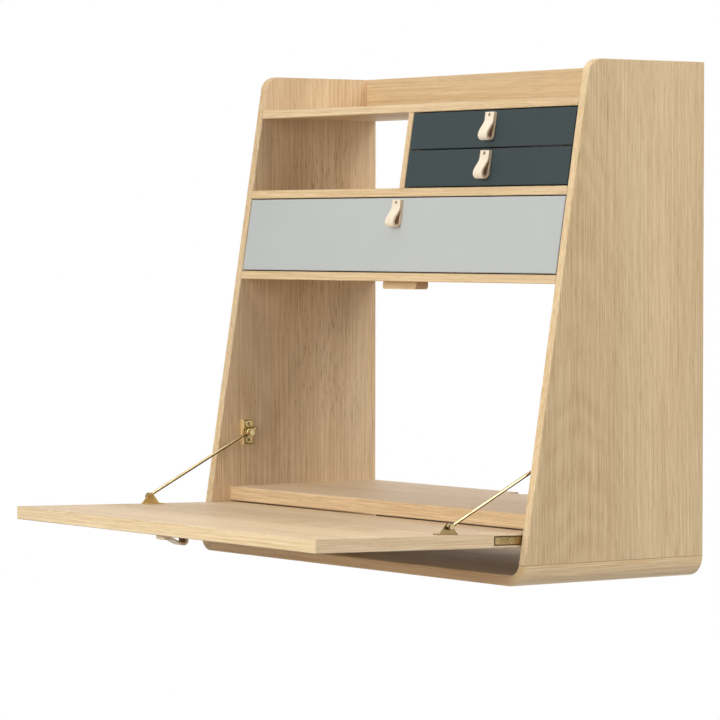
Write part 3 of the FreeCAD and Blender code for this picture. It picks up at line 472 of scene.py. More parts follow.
# %% Birch and beech materials
birch_colours = dict(
    Face_Pale=(0.80, 0.67, 0.49, 1),
    Face_Deep=(0.64, 0.49, 0.32, 1),
    Edge_Pale=(0.76, 0.61, 0.42, 1),
    Edge_Deep=(0.46, 0.32, 0.19, 1),
)
beech_colours = dict(
    Face_Pale=(0.74, 0.54, 0.38, 1),
    Face_Deep=(0.60, 0.40, 0.26, 1),
    Edge_Pale=(0.74, 0.54, 0.38, 1),
    Edge_Deep=(0.60, 0.40, 0.26, 1),
)
birch_figure = dict(Heart=-150.0, Ring_Width=6.5, Contrast=0.6)
birch_seeds = {"upper_drawer": 60.0, "lower_drawer": 67.0, "wide_drawer": 74.0}
drawer_names = tuple(birch_seeds)
box_parts = {"sides": ("Z", "X", "Y"), "back": STANDING_ACROSS, "bottom": LYING}
for drawer, seed in birch_seeds.items():
    for part, axes in box_parts.items():
        values = dict(Seed=seed, **birch_figure, **birch_colours)
        finish_node(f"{drawer}_{part}", oak_board(f"{drawer} {part}", axes, **values))
for node in ("case_dowels", "corner_splines"):
    finish_node(node, oak_board(node, LYING, Seed=71.0, Contrast=0.5, **beech_colours))
print(len(drawer_names), "birch drawer boxes")

# %% [markdown]
# ## Lacquered drawer fronts
#
# The two small drawers are painted a dark green grey and the wide one a light grey. Paint that is rolled or
# sprayed on a board is never quite flat: it keeps a fine orange-peel texture and its sheen varies a little.
# Both paints share one node group that draws this, and differ only in colour.

# %% Lacquer node group
peel_waves = (900.0, 900.0, 900.0)
cloud_waves = (9.0, 9.0, 9.0)
cloud_detail = 3.0
cloud_cut = (0.3, 0.7)
cloud_value = 0.98
cloud_roughness = 0.12

lacquer_inputs = {"Place": Vector((0, 0, 0)), "Paint": (0.5, 0.5, 0.5, 1), "Sheen": 0.52}
lacquer_group, inside, outside = start_group("rolled lacquer", lacquer_inputs, colour_value_height)
tree = lacquer_group
peel = stretched_noise(tree, inside["Place"], peel_waves)
cloud = stretched_noise(tree, inside["Place"], cloud_waves, cloud_detail)
darker = place(tree, "ShaderNodeHueSaturation", {"Value": cloud_value, "Color": inside["Paint"]}).outputs[0]
clouded = blend_colours(tree, fade(tree, cloud, *cloud_cut), inside["Paint"], darker)
tree.links.new(clouded, outside["Color"])
tree.links.new(sum_up(tree, "MULTIPLY_ADD", cloud, cloud_roughness, inside["Sheen"]), outside["Roughness"])
tree.links.new(peel, outside["Height"])
print("lacquer group has", len(tree.nodes), "nodes")

# %% Paint the fronts
peel_depth = 0.00004
peel_strength = 0.5
lacquer_gloss = 0.15


def lacquer(name, paint):
    """A painted front."""
    material, tree, shader = start_material(f"lacquer {name}")
    spot = place(tree, "ShaderNodeTexCoord").outputs["Object"]
    coat = use_group(tree, lacquer_group, Place=spot, Paint=paint)
    wire_up(tree, shader, coat, lacquer_gloss, peel_depth, peel_strength)
    return material


dark_lacquer = lacquer("dark green grey", (0.0475, 0.0655, 0.0675, 1))
grey_lacquer = lacquer("light grey", (0.588, 0.610, 0.590, 1))
finish_node("upper_drawer_front", dark_lacquer)
finish_node("lower_drawer_front", dark_lacquer)
finish_node("wide_drawer_front", grey_lacquer)
print("three lacquered fronts")

# %% [markdown]
# ## Measuring on the frame
#
# Some finishes and pieces must know how a board leans or how far a fitting reaches. Numbers could be typed
# in, but they would go wrong as soon as the desk changes. So small functions read them off the frame: the
# largest face of a piece that looks some way, and the least and greatest reach along any direction.

# %% Measure along a slope
facing_least = 0.9


def facing_face(node, hint):
    """The largest face of a piece that looks the way of the hint."""
    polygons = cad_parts[node].data.polygons
    faces = [face for face in polygons if face.normal.dot(hint) > facing_least]
    return max(faces, key=lambda face: face.area)


def facing_normal(node, hint):
    """The direction of that face."""
    return facing_face(node, hint).normal.copy()


def reach(node, direction):
    """How far a piece reaches, at least and at most, in a direction."""
    distances = [vertex.co.dot(direction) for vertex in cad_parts[node].data.vertices]
    return min(distances), max(distances)


up = Vector((0, 0, 1))
front = Vector((0, -1, 0))
front_lean = math.asin(facing_normal("wide_drawer_front", front).z)
print("the fronts lean back by", round(math.degrees(front_lean), 2), "degrees")

# %% [markdown]
# ## Brass and steel
#
# The stays, hinges and screws are solid brass, drawn or stamped and left to mellow: brighter where it is
# rubbed, browner in patches, with fine lines from the draw plate or the polishing belt. The hangers behind
# the rail are zinced steel. One group draws the brushed lines and the patches for both metals.
#
# Painted shade darkens the brass along the edges of the hinge leaves and stay plates, and on the underside
# of the rods. A second group marks a line at some distance from an edge, and the place of the edge is
# measured on the frame. The bent lip at the front of each stay plate gets a paler brass, a painted highlight.

# %% Metal node group
patch_waves = (60.0, 60.0, 60.0)
patch_detail = 3.0
brush_waves = (3200.0, 260.0, 3200.0)
mellow_cut = (0.38, 0.72)
mellow_roughness = 0.14
brush_roughness = 0.10

metal_inputs = {
    "Place": Vector((0, 0, 0)),
    "Bright": (0.6, 0.6, 0.6, 1),
    "Mellow": (0.4, 0.4, 0.4, 1),
    "Smooth": 0.24,
    "Brush": 1.0,
}
metal_group, inside, outside = start_group("brushed metal", metal_inputs, colour_value_height)
tree = metal_group
patches = stretched_noise(tree, inside["Place"], patch_waves, patch_detail)
lines = stretched_noise(tree, inside["Place"], brush_waves)
lines = sum_up(tree, "MULTIPLY", lines, inside["Brush"])
mellow = fade(tree, patches, *mellow_cut)
tree.links.new(blend_colours(tree, mellow, inside["Bright"], inside["Mellow"]), outside["Color"])
rough = sum_up(tree, "MULTIPLY_ADD", mellow, mellow_roughness, inside["Smooth"])
tree.links.new(sum_up(tree, "MULTIPLY_ADD", lines, brush_roughness, rough), outside["Roughness"])
tree.links.new(lines, outside["Height"])
print("metal group has", len(tree.nodes), "nodes")

# %% Lines along an edge
line_lead = 0.0004
line_full_share = 0.5

line_inputs = {
    "Place": Vector((0, 0, 0)),
    "Toward": Vector((0, 1, 0)),
    "Reach": 0.0,
    "Inset": 0.0,
    "Width": 0.001,
}
line_group, inside, outside = start_group("painted shade and highlight along an edge", line_inputs, {"Mask": "NodeSocketFloat"})
tree = line_group
both = {0: inside["Place"], 1: inside["Toward"]}
spot = place(tree, "ShaderNodeVectorMath", both, operation="DOT_PRODUCT").outputs["Value"]
inward = sum_up(tree, "SUBTRACT", inside["Reach"], spot)
beyond = sum_up(tree, "SUBTRACT", inward, inside["Inset"])
starts = fade(tree, beyond, -line_lead, 0.0)
ends = fade(tree, beyond, inside["Width"], sum_up(tree, "MULTIPLY", inside["Width"], line_full_share))
tree.links.new(sum_up(tree, "MULTIPLY", starts, ends), outside["Mask"])


def edge_lines(node, hints, inset, width, colour):
    """Coloured lines along the edges of a flat fitting, one for each edge that faces a hint."""
    lines = []
    for hint in hints:
        face = facing_face(node, hint)
        toward = face.normal.copy()
        values = dict(Toward=toward, Reach=face.center.dot(toward), Inset=inset, Width=width)
        lines.append((colour, values))
    return lines


print("line group has", len(tree.nodes), "nodes")

# %% Metal materials
# The dark brown that the rods' undersides turn to is painted shade.
painted_underside_shade = (0.105, 0.063, 0.016, 1)
shaded_underside_turn = (0.20, -0.12)
brush_depth = 0.00003
brush_strength = 0.4


def metal(name, bright, mellow, smooth, brush=1.0, lines=(), shaded_under=False):
    """A brushed metal, with painted lines along the given edges and, where asked, an underside in painted
    shade.
    """
    material, tree, shader = start_material(name)
    spot = place(tree, "ShaderNodeTexCoord").outputs["Object"]
    look = dict(Bright=bright, Mellow=mellow, Smooth=smooth, Brush=brush)
    surface = use_group(tree, metal_group, Place=spot, **look)
    colour = surface["Color"]
    for line_colour, values in lines:
        mask = use_group(tree, line_group, Place=spot, **values)["Mask"]
        colour = blend_colours(tree, mask, colour, line_colour)
    if shaded_under:
        normal = place(tree, "ShaderNodeTexCoord").outputs["Normal"]
        upward = place(tree, "ShaderNodeSeparateXYZ", {0: normal}).outputs["Z"]
        colour = blend_colours(tree, fade(tree, upward, *shaded_underside_turn), colour, painted_underside_shade)
    tree.links.new(colour, shader.inputs["Base Color"])
    tree.links.new(surface["Roughness"], shader.inputs["Roughness"])
    if brush:
        add_bump(tree, shader, surface["Height"], brush_depth, brush_strength)
    shader.inputs["Metallic"].default_value = 1.0
    return material


drawn_brass = metal("drawn brass", (0.60, 0.475, 0.255, 1), (0.48, 0.365, 0.180, 1), 0.17, brush=0.0)
rod_tones = ((0.58, 0.465, 0.27, 1), (0.47, 0.36, 0.19, 1))
# The rods are darker wherever they face down: painted shade.
rod_brass = metal("rod brass", *rod_tones, 0.17, brush=0.0, shaded_under=True)
folded_brass = metal("folded brass", (0.50, 0.355, 0.150, 1), (0.37, 0.255, 0.105, 1), 0.24)
leaf_brass = ((0.35, 0.250, 0.110, 1), (0.23, 0.155, 0.066, 1), 0.26)
plate_brass = ((0.56, 0.410, 0.175, 1), (0.42, 0.295, 0.120, 1), 0.42)
# Both brackets are the same brass: the left one is paler, painted light, and the right one darker, painted
# shade.
bracket_brass_lit_and_shaded = {
    "left": ((0.70, 0.520, 0.230, 1), (0.54, 0.385, 0.160, 1), 0.24),
    "right": ((0.36, 0.265, 0.120, 1), (0.25, 0.175, 0.078, 1), 0.24),
}
steel = metal("zinced steel", (0.62, 0.63, 0.64, 1), (0.46, 0.46, 0.45, 1), 0.30)
print("brass for rods, leaves, plates and brackets, and steel for hangers")

# %% Finish the metal pieces
# The near black for lines along the edges of leaves and plates is painted shade.
painted_edge_shade = (0.055, 0.036, 0.018, 1)
# The pale brass for the plates' front lip is a painted highlight.
painted_lip_highlight = (0.95, 0.79, 0.46, 1)
leaf_line_width = 0.0012
plate_line_inset = 0.0009
plate_line_width = 0.0010
lip_thickness = 0.0018
lip_line_width = 0.0016

steel_nodes = ("hanger_plates", "hanger_screws")
brass_nodes = [
    f"{hand}_{piece}"
    for hand in ("left", "right")
    for piece in (
        "case_hinge_leaf", "flap_hinge_leaf", "stay_plate", "stay_bracket",
        "stay_rod", "rod_stop", "stay_post", "brake_screw",
    )
]
brass_nodes += ["hinge_pins", "stay_rivets", "case_brass_screws", "flap_brass_screws", "flap_pull_screw"]
brass_nodes += [f"{drawer}_pull_screw" for drawer in drawer_names]
for node in brass_nodes:
    finish_node(node, folded_brass if node.endswith("case_hinge_leaf") else drawn_brass)
flap_up = facing_normal("flap_board", up)
flap_back = Vector((0, flap_up.z, -flap_up.y))
for hand in ("left", "right"):
    finish_node(f"{hand}_stay_rod", rod_brass)
    finish_node(f"{hand}_stay_bracket", metal(f"{hand} bracket brass", *bracket_brass_lit_and_shaded[hand]))
    leaf, plate = f"{hand}_flap_hinge_leaf", f"{hand}_stay_plate"
    # The dark lines along the leaf's and plate's edges and beside the plate's lip are painted shade.
    leaf_lines = edge_lines(leaf, (flap_up, -flap_up, -flap_back), 0.0, leaf_line_width, painted_edge_shade)
    plate_lines = edge_lines(plate, (up, -up), plate_line_inset, plate_line_width, painted_edge_shade)
    plate_lines += edge_lines(plate, (front,), lip_thickness, lip_line_width, painted_edge_shade)
    # The lip itself takes the pale brass: a painted highlight.
    plate_lines += edge_lines(plate, (front,), 0.0, lip_thickness, painted_lip_highlight)
    finish_node(leaf, metal(f"{leaf} brass", *leaf_brass, lines=leaf_lines))
    finish_node(plate, metal(f"{plate} brass", *plate_brass, lines=plate_lines))
for node in steel_nodes:
    finish_node(node, steel)
print(len(brass_nodes), "brass and", len(steel_nodes), "steel pieces")

# %% [markdown]
# ## Leather
#
# Each pull is a strap of thick vegetable-tanned hide, folded into a loop and held by one screw. Such hide
# is pale and smooth on its grain side, fibrous and brown on its flesh side, and its cut edges show both.
# Three materials share one group that draws pebbled grain and uneven colour at a given scale.

# %% Leather node group
blotch_waves = (170.0, 170.0, 170.0)
blotch_detail = 4.0
blotch_tone = 1.3
blotch_shift = -0.45
blotch_height = -0.5
pebble_tone = 0.25
pebble_roughness = 0.15
hide_roughness = 0.50

leather_inputs = {
    "Place": Vector((0, 0, 0)),
    "Pale": (0.8, 0.7, 0.5, 1),
    "Tan": (0.7, 0.5, 0.35, 1),
    "Pebble": 1400.0,
}
leather_group, inside, outside = start_group("tanned hide", leather_inputs, colour_value_height)
tree = leather_group
pebbles = {"Vector": inside["Place"], "Scale": inside["Pebble"]}
cells = place(tree, "ShaderNodeTexVoronoi", pebbles).outputs["Distance"]
blotches = stretched_noise(tree, inside["Place"], blotch_waves, blotch_detail)
shade = sum_up(tree, "MULTIPLY_ADD", blotches, blotch_tone, blotch_shift)
shade = sum_up(tree, "MULTIPLY_ADD", cells, pebble_tone, shade, clamp=True)
tree.links.new(blend_colours(tree, shade, inside["Pale"], inside["Tan"]), outside["Color"])
tree.links.new(sum_up(tree, "MULTIPLY_ADD", cells, pebble_roughness, hide_roughness), outside["Roughness"])
tree.links.new(sum_up(tree, "MULTIPLY_ADD", blotches, blotch_height, cells), outside["Height"])
print("leather group has", len(tree.nodes), "nodes")

# %% Leather materials
hide_gloss = 0.35


def hide(name, pale, tan, pebble, depth):
    """One side of the hide."""
    material, tree, shader = start_material(f"hide {name}")
    spot = place(tree, "ShaderNodeTexCoord").outputs["Object"]
    skin = use_group(tree, leather_group, Place=spot, Pale=pale, Tan=tan, Pebble=pebble)
    wire_up(tree, shader, skin, hide_gloss, depth)
    return material


hide_sides = [
    hide("grain side", (0.98, 0.875, 0.70, 1), (0.91, 0.765, 0.575, 1), pebble=1400.0, depth=0.00006),
    hide("cut edge", (0.84, 0.67, 0.46, 1), (0.60, 0.43, 0.27, 1), pebble=2600.0, depth=0.00012),
    # The flesh side is brown and is darkened further, as painted shade for the inside of the loop.
    hide("flesh side", (0.68, 0.45, 0.30, 1), (0.50, 0.31, 0.19, 1), pebble=2200.0, depth=0.00015),
]
print(len(hide_sides), "sides of the hide")

# %% [markdown]
# ## The leather loops
#
# The frame holds a plain loop for each pull. Here each one is modelled again with rounded edges: a strap's
# cross section is carried along a line that runs down close to the board, turns at the bottom, swells
# forward on its way up and comes to rest on itself at the top. A curve object with a bevel could do this
# too, but a mesh lets us give the grain side, the cut edges and the flesh side their own materials. The
# loop's size and place are measured on the frame's own loop, along the slope of the board that carries it.
# Hide gives way under a screw, so both ends of the strap are pressed thinner there.

# %% Measure a pull
def pull_axes(carrier, pull, hint):
    """The top corner of a pull, its directions down and out, and its length, depth and width."""
    out = facing_normal(carrier, Vector(hint))
    down = Vector((0, -out.z, out.y))
    top, bottom = reach(pull, down)
    back, front = reach(pull, out)
    left, right = reach(pull, Vector((1, 0, 0)))
    corner = down * top + out * back + Vector(((left + right) / 2, 0, 0))
    return corner, down, out, bottom - top, front - back, right - left


pull_size = pull_axes("wide_drawer_front", "wide_drawer_pull", front)[3:]
print("a pull's length, depth and width", [round(length, 4) for length in pull_size])

# %% Draw the strap's line
strap_thickness = 0.0031
strap_pressed_thickness = 0.0025
strap_clamp_share = 0.26
strap_layer_gap = 0.00008
run_steps = 14
bend_steps = 18
swell_steps = 26
clamp_steps = 8


def strap_line(length, depth):
    """The middle line of a strap from its back end round to its front end.

    Each stop along it is given as its place (down, out) and its share of the strap's full thickness.
    """
    half = strap_thickness / 2
    bend = length - depth / 2
    clamp = length * strap_clamp_share
    # The front layer lies on the back one, so its middle is one and a half thicknesses out.
    rest = strap_pressed_thickness * 1.5 + strap_layer_gap

    def pressed(share):
        ease = share * share * (3 - 2 * share)
        return ease, strap_thickness + (strap_pressed_thickness - strap_thickness) * ease

    stops = []
    for step in range(run_steps):
        place_down = bend * step / run_steps
        thickness = pressed(min((bend - place_down) / (bend - clamp), 1.0))[1]
        stops.append((place_down, thickness / 2, thickness))
    turn = depth / 2 - half
    for step in range(bend_steps + 1):
        angle = math.pi * step / bend_steps
        stops.append((bend + turn * math.sin(angle), depth / 2 - turn * math.cos(angle), strap_thickness))
    for step in range(1, swell_steps + 1):
        share = step / swell_steps
        ease, thickness = pressed(share)
        stops.append((bend + (clamp - bend) * share, depth - half + (rest - depth + half) * ease, thickness))
    for step in range(1, clamp_steps + 1):
        stops.append((clamp * (1 - step / clamp_steps), rest, strap_pressed_thickness))
    return [(Vector(stop[:2]), stop[2] / strap_thickness) for stop in stops]


print(len(strap_line(*pull_size[:2])), "stops along a strap")

# %% Draw the strap's section
strap_edge_round = 0.0005
grain_steps = 8


def strap_section(width):
    """The strap's cross section as (across, thickness, side) corners: side 0 grain, 1 edge, 2 flesh."""
    half, thick, ease = width / 2, strap_thickness / 2, strap_edge_round
    flats = [-half + ease + (width - 2 * ease) * step / grain_steps for step in range(grain_steps + 1)]
    slant = ease * (1 - math.sqrt(0.5))
    grain = [(x, thick, 0) for x in flats]
    right = [
        (half - slant, thick - slant, 1),
        (half, thick - ease, 1),
        (half, ease - thick, 1),
        (half - slant, slant - thick, 1),
    ]
    flesh = [(x, -thick, 2) for x in reversed(flats)]
    left = [(-x, -y, side) for x, y, side in right]
    return grain + right + flesh + left


print(len(strap_section(pull_size[2])), "corners round a strap")

# %% Model the loops
def make_object(name, mesh, materials):
    """Turn a finished mesh into an object in the scene, with its materials."""
    data = bpy.data.meshes.new(name)
    mesh.to_mesh(data)
    mesh.free()
    for material in materials:
        data.materials.append(material)
    made = bpy.data.objects.new(name, data)
    bpy.context.scene.collection.objects.link(made)
    return made


def leather_loop(name, body, carrier, pull, hint):
    """Carry the section along the line, close both ends, and let the loop replace the plain one."""
    corner, down, out, length, depth, width = pull_axes(carrier, pull, hint)
    line = strap_line(length, depth)
    section = strap_section(width)
    mesh = bmesh.new()
    rows = []
    for number, (spot, thickness_share) in enumerate(line):
        before, after = line[max(number - 1, 0)][0], line[min(number + 1, len(line) - 1)][0]
        heading = (after - before).normalized()
        outward = Vector((heading.y, -heading.x))
        row = []
        for across, thick, side in section:
            point = spot + outward * thick * thickness_share
            row.append(mesh.verts.new(corner + down * point.x + out * point.y + Vector((across, 0, 0))))
        rows.append(row)
    count = len(section)
    for first, second in zip(rows, rows[1:]):
        for index in range(count):
            following = (index + 1) % count
            face = mesh.faces.new((first[index], first[following], second[following], second[index]))
            sides = (section[index][2], section[following][2])
            face.material_index = sides[0] if sides[0] == sides[1] else 1
            face.smooth = True
    for end in (rows[0], rows[-1]):
        cap = mesh.faces.new(end)
        cap.material_index = 1
    bmesh.ops.recalc_face_normals(mesh, faces=mesh.faces)
    loop = make_object(name, mesh, hide_sides)
    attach(loop, body)
    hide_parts(pull)
    return loop


loops = [
    leather_loop(f"{drawer}_leather_loop", drawer, f"{drawer}_front", f"{drawer}_pull", (0, -1, 0))
    for drawer in drawer_names
]
loops.append(leather_loop("flap_leather_loop", "flap", "flap_board", "flap_pull", (0, 0, -1)))
print(len(loops), "leather loops of", len(loops[0].data.polygons), "faces each")

# %% [markdown]
# ## Screws with driver recesses
#
# The frame's screws are plain tapers. What the eye looks for in a screw is the cross that the driver fits,
# so every screw is turned again here: rings of points from the middle of the head outwards, sunk where the
# cross is, then down the countersink and along the shank. Where a screw sits, which way it points and how
# large it is are read off the frame's own screws, one separate solid at a time.

# %% Find the screws
same_spot = 1e-6
screw_end_share = 0.1


def solids_of(node):
    """The separate solids of a piece, each as an array of its corners."""
    mesh = bmesh.new()
    mesh.from_mesh(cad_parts[node].data)
    bmesh.ops.remove_doubles(mesh, verts=mesh.verts, dist=same_spot)
    waiting = set(mesh.verts)
    found = []
    while waiting:
        stack = [waiting.pop()]
        solid = []
        while stack:
            corner = stack.pop()
            solid.append(corner.co.copy())
            for edge in corner.link_edges:
                neighbour = edge.other_vert(corner)
                if neighbour in waiting:
                    waiting.remove(neighbour)
                    stack.append(neighbour)
        found.append(np.array(solid))
    mesh.free()
    return sorted(found, key=lambda solid: tuple(solid.mean(0)))


def screw_lie(solid):
    """A screw's head centre, its inward direction, its length and the radii of its head and shank."""
    middle = solid.mean(0)
    axis = np.linalg.svd(solid - middle)[2][0]
    heights = (solid - middle) @ axis
    offsets = np.linalg.norm(solid - middle - np.outer(heights, axis), axis=1)
    low, high = heights.min(), heights.max()
    near = screw_end_share * (high - low)
    at_low, at_high = offsets[heights < low + near].max(), offsets[heights > high - near].max()
    inward = axis if at_low > at_high else -axis
    start = low if at_low > at_high else high
    return Vector(middle + axis * start), Vector(inward), high - low, offsets.max(), min(at_low, at_high)


countersunk = [len(solids_of(node)) for node in ("case_brass_screws", "flap_brass_screws")]
print(sum(countersunk), "countersunk brass screws")

# %% Turn one screw
screw_spokes = 32
head_rings = 9
cross_arms = 4
cross_spokes = (0, 1, 7)
cross_share = 0.66
cross_hub_share = 0.20
cross_depth_share = 0.42
cross_taper = 0.5
recess_share = 0.12


def ring_of_points(mesh, lie, radius, depths, turn=0.0):
    """A ring of corners round a screw's axis, each sunk to its own depth."""
    seat, inward = lie[:2]
    side = inward.orthogonal().normalized()
    other = inward.cross(side)
    corners = []
    for spoke, depth in enumerate(depths):
        angle = turn + 2 * math.pi * spoke / screw_spokes
        outward = side * math.cos(angle) + other * math.sin(angle)
        corners.append(mesh.verts.new(seat + outward * radius + inward * depth))
    return corners


def join_rings(mesh, inner, outer):
    """The faces between two rings."""
    faces = []
    for spoke in range(screw_spokes):
        following = (spoke + 1) % screw_spokes
        faces.append(mesh.faces.new((inner[spoke], outer[spoke], outer[following], inner[following])))
    return faces


def turned_screw(mesh, lie, dome, neck_share, turn):
    """Add one screw to a mesh: a head with a sunk cross, a countersink or a collar, and a shank."""
    seat, inward, length, head, shank = lie
    rings = []
    for step in range(1, head_rings + 1):
        share = step / head_rings
        crown = dome * share * share
        sink = head * cross_depth_share * (1 - cross_taper * share)
        depths = []
        for spoke in range(screw_spokes):
            in_arm = spoke % (screw_spokes // cross_arms) in cross_spokes and share < cross_share
            sunk = in_arm or share < cross_hub_share
            depths.append(crown + (sink if sunk else 0.0))
        rings.append(ring_of_points(mesh, lie, head * share, depths, turn))
    for depth in (dome + length * neck_share, length):
        rings.append(ring_of_points(mesh, lie, shank, [depth] * screw_spokes, turn))
    for inner, outer in zip(rings, rings[1:]):
        for face in join_rings(mesh, inner, outer):
            deepest = max((corner.co - seat).dot(inward) - dome for corner in face.verts)
            # Faces deep in the cross take the dark brass, a painted shade in the recess.
            face.material_index = 1 if deepest > head * recess_share else 0
    middle = mesh.faces.new(rings[0])
    middle.material_index = 1
    mesh.faces.new(list(reversed(rings[-1])))


print("a screw has", head_rings + 2, "rings of", screw_spokes, "points")

# %% Model the screws
screw_turn = 0.7
screw_sharp_deg = 32
flat_head = dict(dome=0.0, neck_share=0.13)
round_head = dict(dome=0.0006, neck_share=0.05)
dull_brass = metal("dull screw brass", (0.30, 0.21, 0.09, 1), (0.20, 0.135, 0.055, 1), 0.30)
screw_brass = metal("screw brass", (0.60, 0.45, 0.22, 1), (0.44, 0.32, 0.14, 1), 0.20)
# This dark brass goes into the screws' crosses and onto the rings' steps: painted shade.
shaded_recess_brass = metal("screw brass in painted shade", (0.12, 0.080, 0.035, 1), (0.07, 0.045, 0.020, 1), 0.45)


def screw_set(name, body, node, dome, neck_share, finishes):
    """All screws of a node as one piece that replaces it."""
    mesh = bmesh.new()
    solids = solids_of(node)
    for number, solid in enumerate(solids):
        turned_screw(mesh, screw_lie(solid), dome, neck_share, screw_turn * (number + 1))
    bmesh.ops.recalc_face_normals(mesh, faces=mesh.faces)
    piece = make_object(name, mesh, finishes)
    piece.data.shade_smooth()
    piece.data.set_sharp_from_angle(angle=math.radians(screw_sharp_deg))
    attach(piece, body)
    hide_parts(node)
    return len(solids)


case_finish = (screw_brass, shaded_recess_brass)
pull_finish = (dull_brass, shaded_recess_brass)
made = screw_set("case_screws", "case", "case_brass_screws", finishes=case_finish, **flat_head)
made += screw_set("flap_screws", "flap", "flap_brass_screws", finishes=case_finish, **flat_head)
for body in (*drawer_names, "flap"):
    made += screw_set(f"{body}_loop_screw", body, f"{body}_pull_screw", finishes=pull_finish, **round_head)
print(made, "screws with crosses")

# %% [markdown]
# ## Rings under the plate screws
#
# The four screws of the stay plates sit in raised brass rings, which the frame leaves out because they are so
# small. Each ring is turned from a profile of radii, as shares of the screw's head, and heights. The steps
# next to the head and next to the plate take the dark brass, a painted shade that draws the outline of the
# ring.

# %% Turn one ring
washer_profile = ((0.66, 0.0003), (0.80, 0.0009), (1.05, 0.0012), (1.45, 0.0011), (1.72, 0.0007), (1.88, 0.0))
# The steps next to the head and next to the plate take the dark brass as painted shade.
washer_shaded_steps = (0, 4)


def cup_washer(mesh, lie):
    """Add the raised brass ring that a screw head sits in."""
    head = lie[3]
    rings = []
    for radius_share, height in washer_profile:
        rings.append(ring_of_points(mesh, lie, head * radius_share, [-height] * screw_spokes))
    for number, (inner, outer) in enumerate(zip(rings, rings[1:] + rings[:1])):
        for face in join_rings(mesh, inner, outer):
            face.material_index = 1 if number in washer_shaded_steps else 0


print("a ring has", len(washer_profile), "steps")

# %% Model the rings
washer_sharp_deg = 50

plate_low, plate_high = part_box("left_stay_plate")
washers = bmesh.new()
plate_screws = []
for solid in solids_of("case_brass_screws"):
    lie = screw_lie(solid)
    if plate_low.z < lie[0].z < plate_high.z:
        cup_washer(washers, lie)
        plate_screws.append(lie)
bmesh.ops.recalc_face_normals(washers, faces=washers.faces)
washer_piece = make_object("stay_plate_washers", washers, case_finish)
washer_piece.data.shade_smooth()
washer_piece.data.set_sharp_from_angle(angle=math.radians(washer_sharp_deg))
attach(washer_piece, "case")
print(len(plate_screws), "rings under screws")

# %% [markdown]
# ## Studio light and floor
#
# The photograph is lit softly from above and from the right, with weaker light from in front and light coming
# back from all sides. Five soft lamps and an even world do that. The world looks pure white to the camera and
# in reflections, but lights the desk with about a fifth of that strength, so that pale oak doesn't bleach.
#
# The wall would throw light back into the desk, but nearly all of it is left out of the picture. Three faint
# lamps, as large as the openings in the case, stand in for that light. A round pale floor lies below the desk
# and catches its shadow in views from above.

# %% Lamp helpers
desk_middle = Vector((0.0, -0.2, case_bottom + 0.3))


def area_lamp(name, width, height, watts):
    """A flat lamp that shines to one side."""
    lamp_data = bpy.data.lights.new(name, "AREA")
    lamp_data.shape = "RECTANGLE"
    lamp_data.size, lamp_data.size_y = width, height
    lamp_data.energy = watts
    lamp = bpy.data.objects.new(name, lamp_data)
    bpy.context.scene.collection.objects.link(lamp)
    return lamp


def soft_lamp(name, direction, distance, size, watts, mirrored=True):
    """A large square lamp that looks at the desk from a direction."""
    lamp = area_lamp(name, size, size, watts)
    away = Vector(direction).normalized()
    lamp.location = desk_middle + away * distance
    lamp.rotation_euler = away.to_track_quat("Z", "Y").to_euler()
    lamp.visible_glossy = mirrored


def bounce_lamp(name, left, right, low, high, watts):
    """A lamp the size of an opening in the case, for the light that the wall behind throws back."""
    lamp = area_lamp(name, right - left, high - low, watts)
    lamp.location = ((left + right) / 2, 0.0, (low + high) / 2)
    lamp.rotation_euler = (math.radians(-90), 0.0, 0.0)
    lamp.visible_camera = False


print("lamps look at", [round(value, 3) for value in desk_middle])

# %% Light the desk
soft_lamp("high right lamp", (0.75, 0.25, 0.60), distance=3.0, size=2.0, watts=54.0)
soft_lamp("front lamp", (0.10, -1.0, 0.32), distance=1.8, size=1.2, watts=20.0)
soft_lamp("top lamp", (-0.10, -0.25, 1.0), distance=2.8, size=2.0, watts=21.0)
soft_lamp("left rear lamp", (-0.85, 0.50, 0.25), distance=3.0, size=2.0, watts=16.0, mirrored=False)
soft_lamp("low right lamp", (0.80, 0.10, -0.50), distance=1.45, size=0.4, watts=1.2)
left_inside, right_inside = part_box("left_side_panel")[1].x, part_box("right_side_panel")[0].x
deck_top, opening_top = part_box("deck_board")[1].z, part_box("lower_shelf")[0].z
space_floor, deck_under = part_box("bottom_panel")[1].z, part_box("deck_board")[0].z
niche_floor, niche_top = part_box("middle_shelf")[1].z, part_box("top_shelf")[0].z
divider_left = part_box("niche_divider")[0].x
bounce_lamp("opening bounce", left_inside, right_inside, deck_top, opening_top, watts=0.039)
bounce_lamp("space bounce", left_inside, right_inside, space_floor, deck_under, watts=0.072)
bounce_lamp("niche bounce", left_inside, divider_left, niche_floor, niche_top, watts=0.028)
print(len(bpy.data.lights), "lamps")

# %% Make the world white
world_strength = 0.22


def seen_directly(tree):
    """One where the camera, a reflection or a view through glass looks at the surface, else zero."""
    path = place(tree, "ShaderNodeLightPath").outputs
    seen = sum_up(tree, "MAXIMUM", path["Is Camera Ray"], path["Is Glossy Ray"])
    return sum_up(tree, "MAXIMUM", seen, path["Is Transmission Ray"])


world = bpy.data.worlds.new("even white room")
bpy.context.scene.world = world
world.use_nodes = True
tree = world.node_tree
strength = blend_values(tree, seen_directly(tree), world_strength, 1.0)
background = tree.nodes["Background"]
background.inputs["Color"].default_value = (1, 1, 1, 1)
tree.links.new(strength, background.inputs["Strength"])
print("even world, strength", world_strength, "where it only lights")

# %% Lay the floor
floor_drop = 0.67
floor_radius = 2.4
floor_corners = 96
floor_lit_grey = (0.48, 0.48, 0.48, 1)
floor_seen_grey = (0.90, 0.90, 0.90, 1)
floor_glow = 0.35
matt_roughness = 0.9


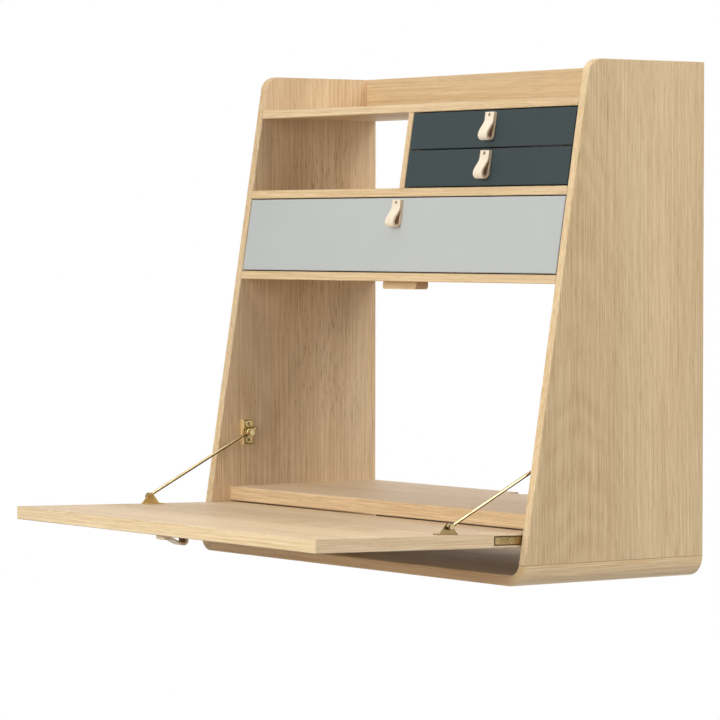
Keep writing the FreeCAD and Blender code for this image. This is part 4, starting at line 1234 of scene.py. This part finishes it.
def one_sided(tree, shader):
    """Let a surface be seen from its front only, so that views from behind look through it."""
    behind = place(tree, "ShaderNodeNewGeometry").outputs["Backfacing"]
    clear = place(tree, "ShaderNodeBsdfTransparent").outputs[0]
    mixed = place(tree, "ShaderNodeMixShader", {0: behind, 1: shader.outputs[0], 2: clear}).outputs[0]
    tree.links.new(mixed, tree.nodes["Material Output"].inputs["Surface"])


material, tree, shader = start_material("pale floor")
seen = seen_directly(tree)
floor_colour = blend_colours(tree, seen, floor_lit_grey, floor_seen_grey)
tree.links.new(floor_colour, shader.inputs["Base Color"])
shader.inputs["Roughness"].default_value = matt_roughness
shader.inputs["Emission Color"].default_value = (1, 1, 1, 1)
tree.links.new(sum_up(tree, "MULTIPLY", seen, floor_glow), shader.inputs["Emission Strength"])
one_sided(tree, shader)
disc = bmesh.new()
bmesh.ops.create_circle(disc, cap_ends=True, segments=floor_corners, radius=floor_radius)
floor = make_object("floor", disc, [material])
floor.location = (0.0, 0.0, case_bottom - floor_drop)
print("floor", floor_radius * 2, "m across")

# %% [markdown]
# ## The foot of the wall
#
# The desk hangs on a wall, but the photograph shows next to nothing of it. Only in the low space under the
# deck does the wall matter: it darkens that space and the slit that the camera sees between deck and
# flap. So a low dark grey strip stands there, a painted shade for the shadowed foot of the wall, just high
# enough to close the slit in the camera's line of sight past the deck's lower front edge. It is one-sided,
# so that views from behind look through it.

# %% Stand the foot of the wall
wall_inset = 0.001
slit_cover = 0.0015
# The strip's grey is darker than a white wall: painted shade.
wall_shade_grey = (0.3, 0.3, 0.3, 1)

wall_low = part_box("bottom_panel")[1].z + wall_inset
deck_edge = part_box("deck_board")[0]
sight = camera_place.y / (camera_place.y - deck_edge.y)
wall_high = camera_place.z + (deck_edge.z - camera_place.z) * sight + slit_cover
wall_half = right_inside - wall_inset
wall_corners = [
    (-wall_half, 0.0, wall_low),
    (wall_half, 0.0, wall_low),
    (wall_half, 0.0, wall_high),
    (-wall_half, 0.0, wall_high),
]
wall_data = bpy.data.meshes.new("wall")
wall_data.from_pydata(wall_corners, [], [(0, 1, 2, 3)])
wall = bpy.data.objects.new("wall", wall_data)
bpy.context.scene.collection.objects.link(wall)
material, tree, shader = start_material("grey wall, painted shade")
shader.inputs["Base Color"].default_value = wall_shade_grey
shader.inputs["Roughness"].default_value = matt_roughness
one_sided(tree, shader)
wall_data.materials.append(material)
print("wall", round(wall_high - wall_low, 3), "m high")
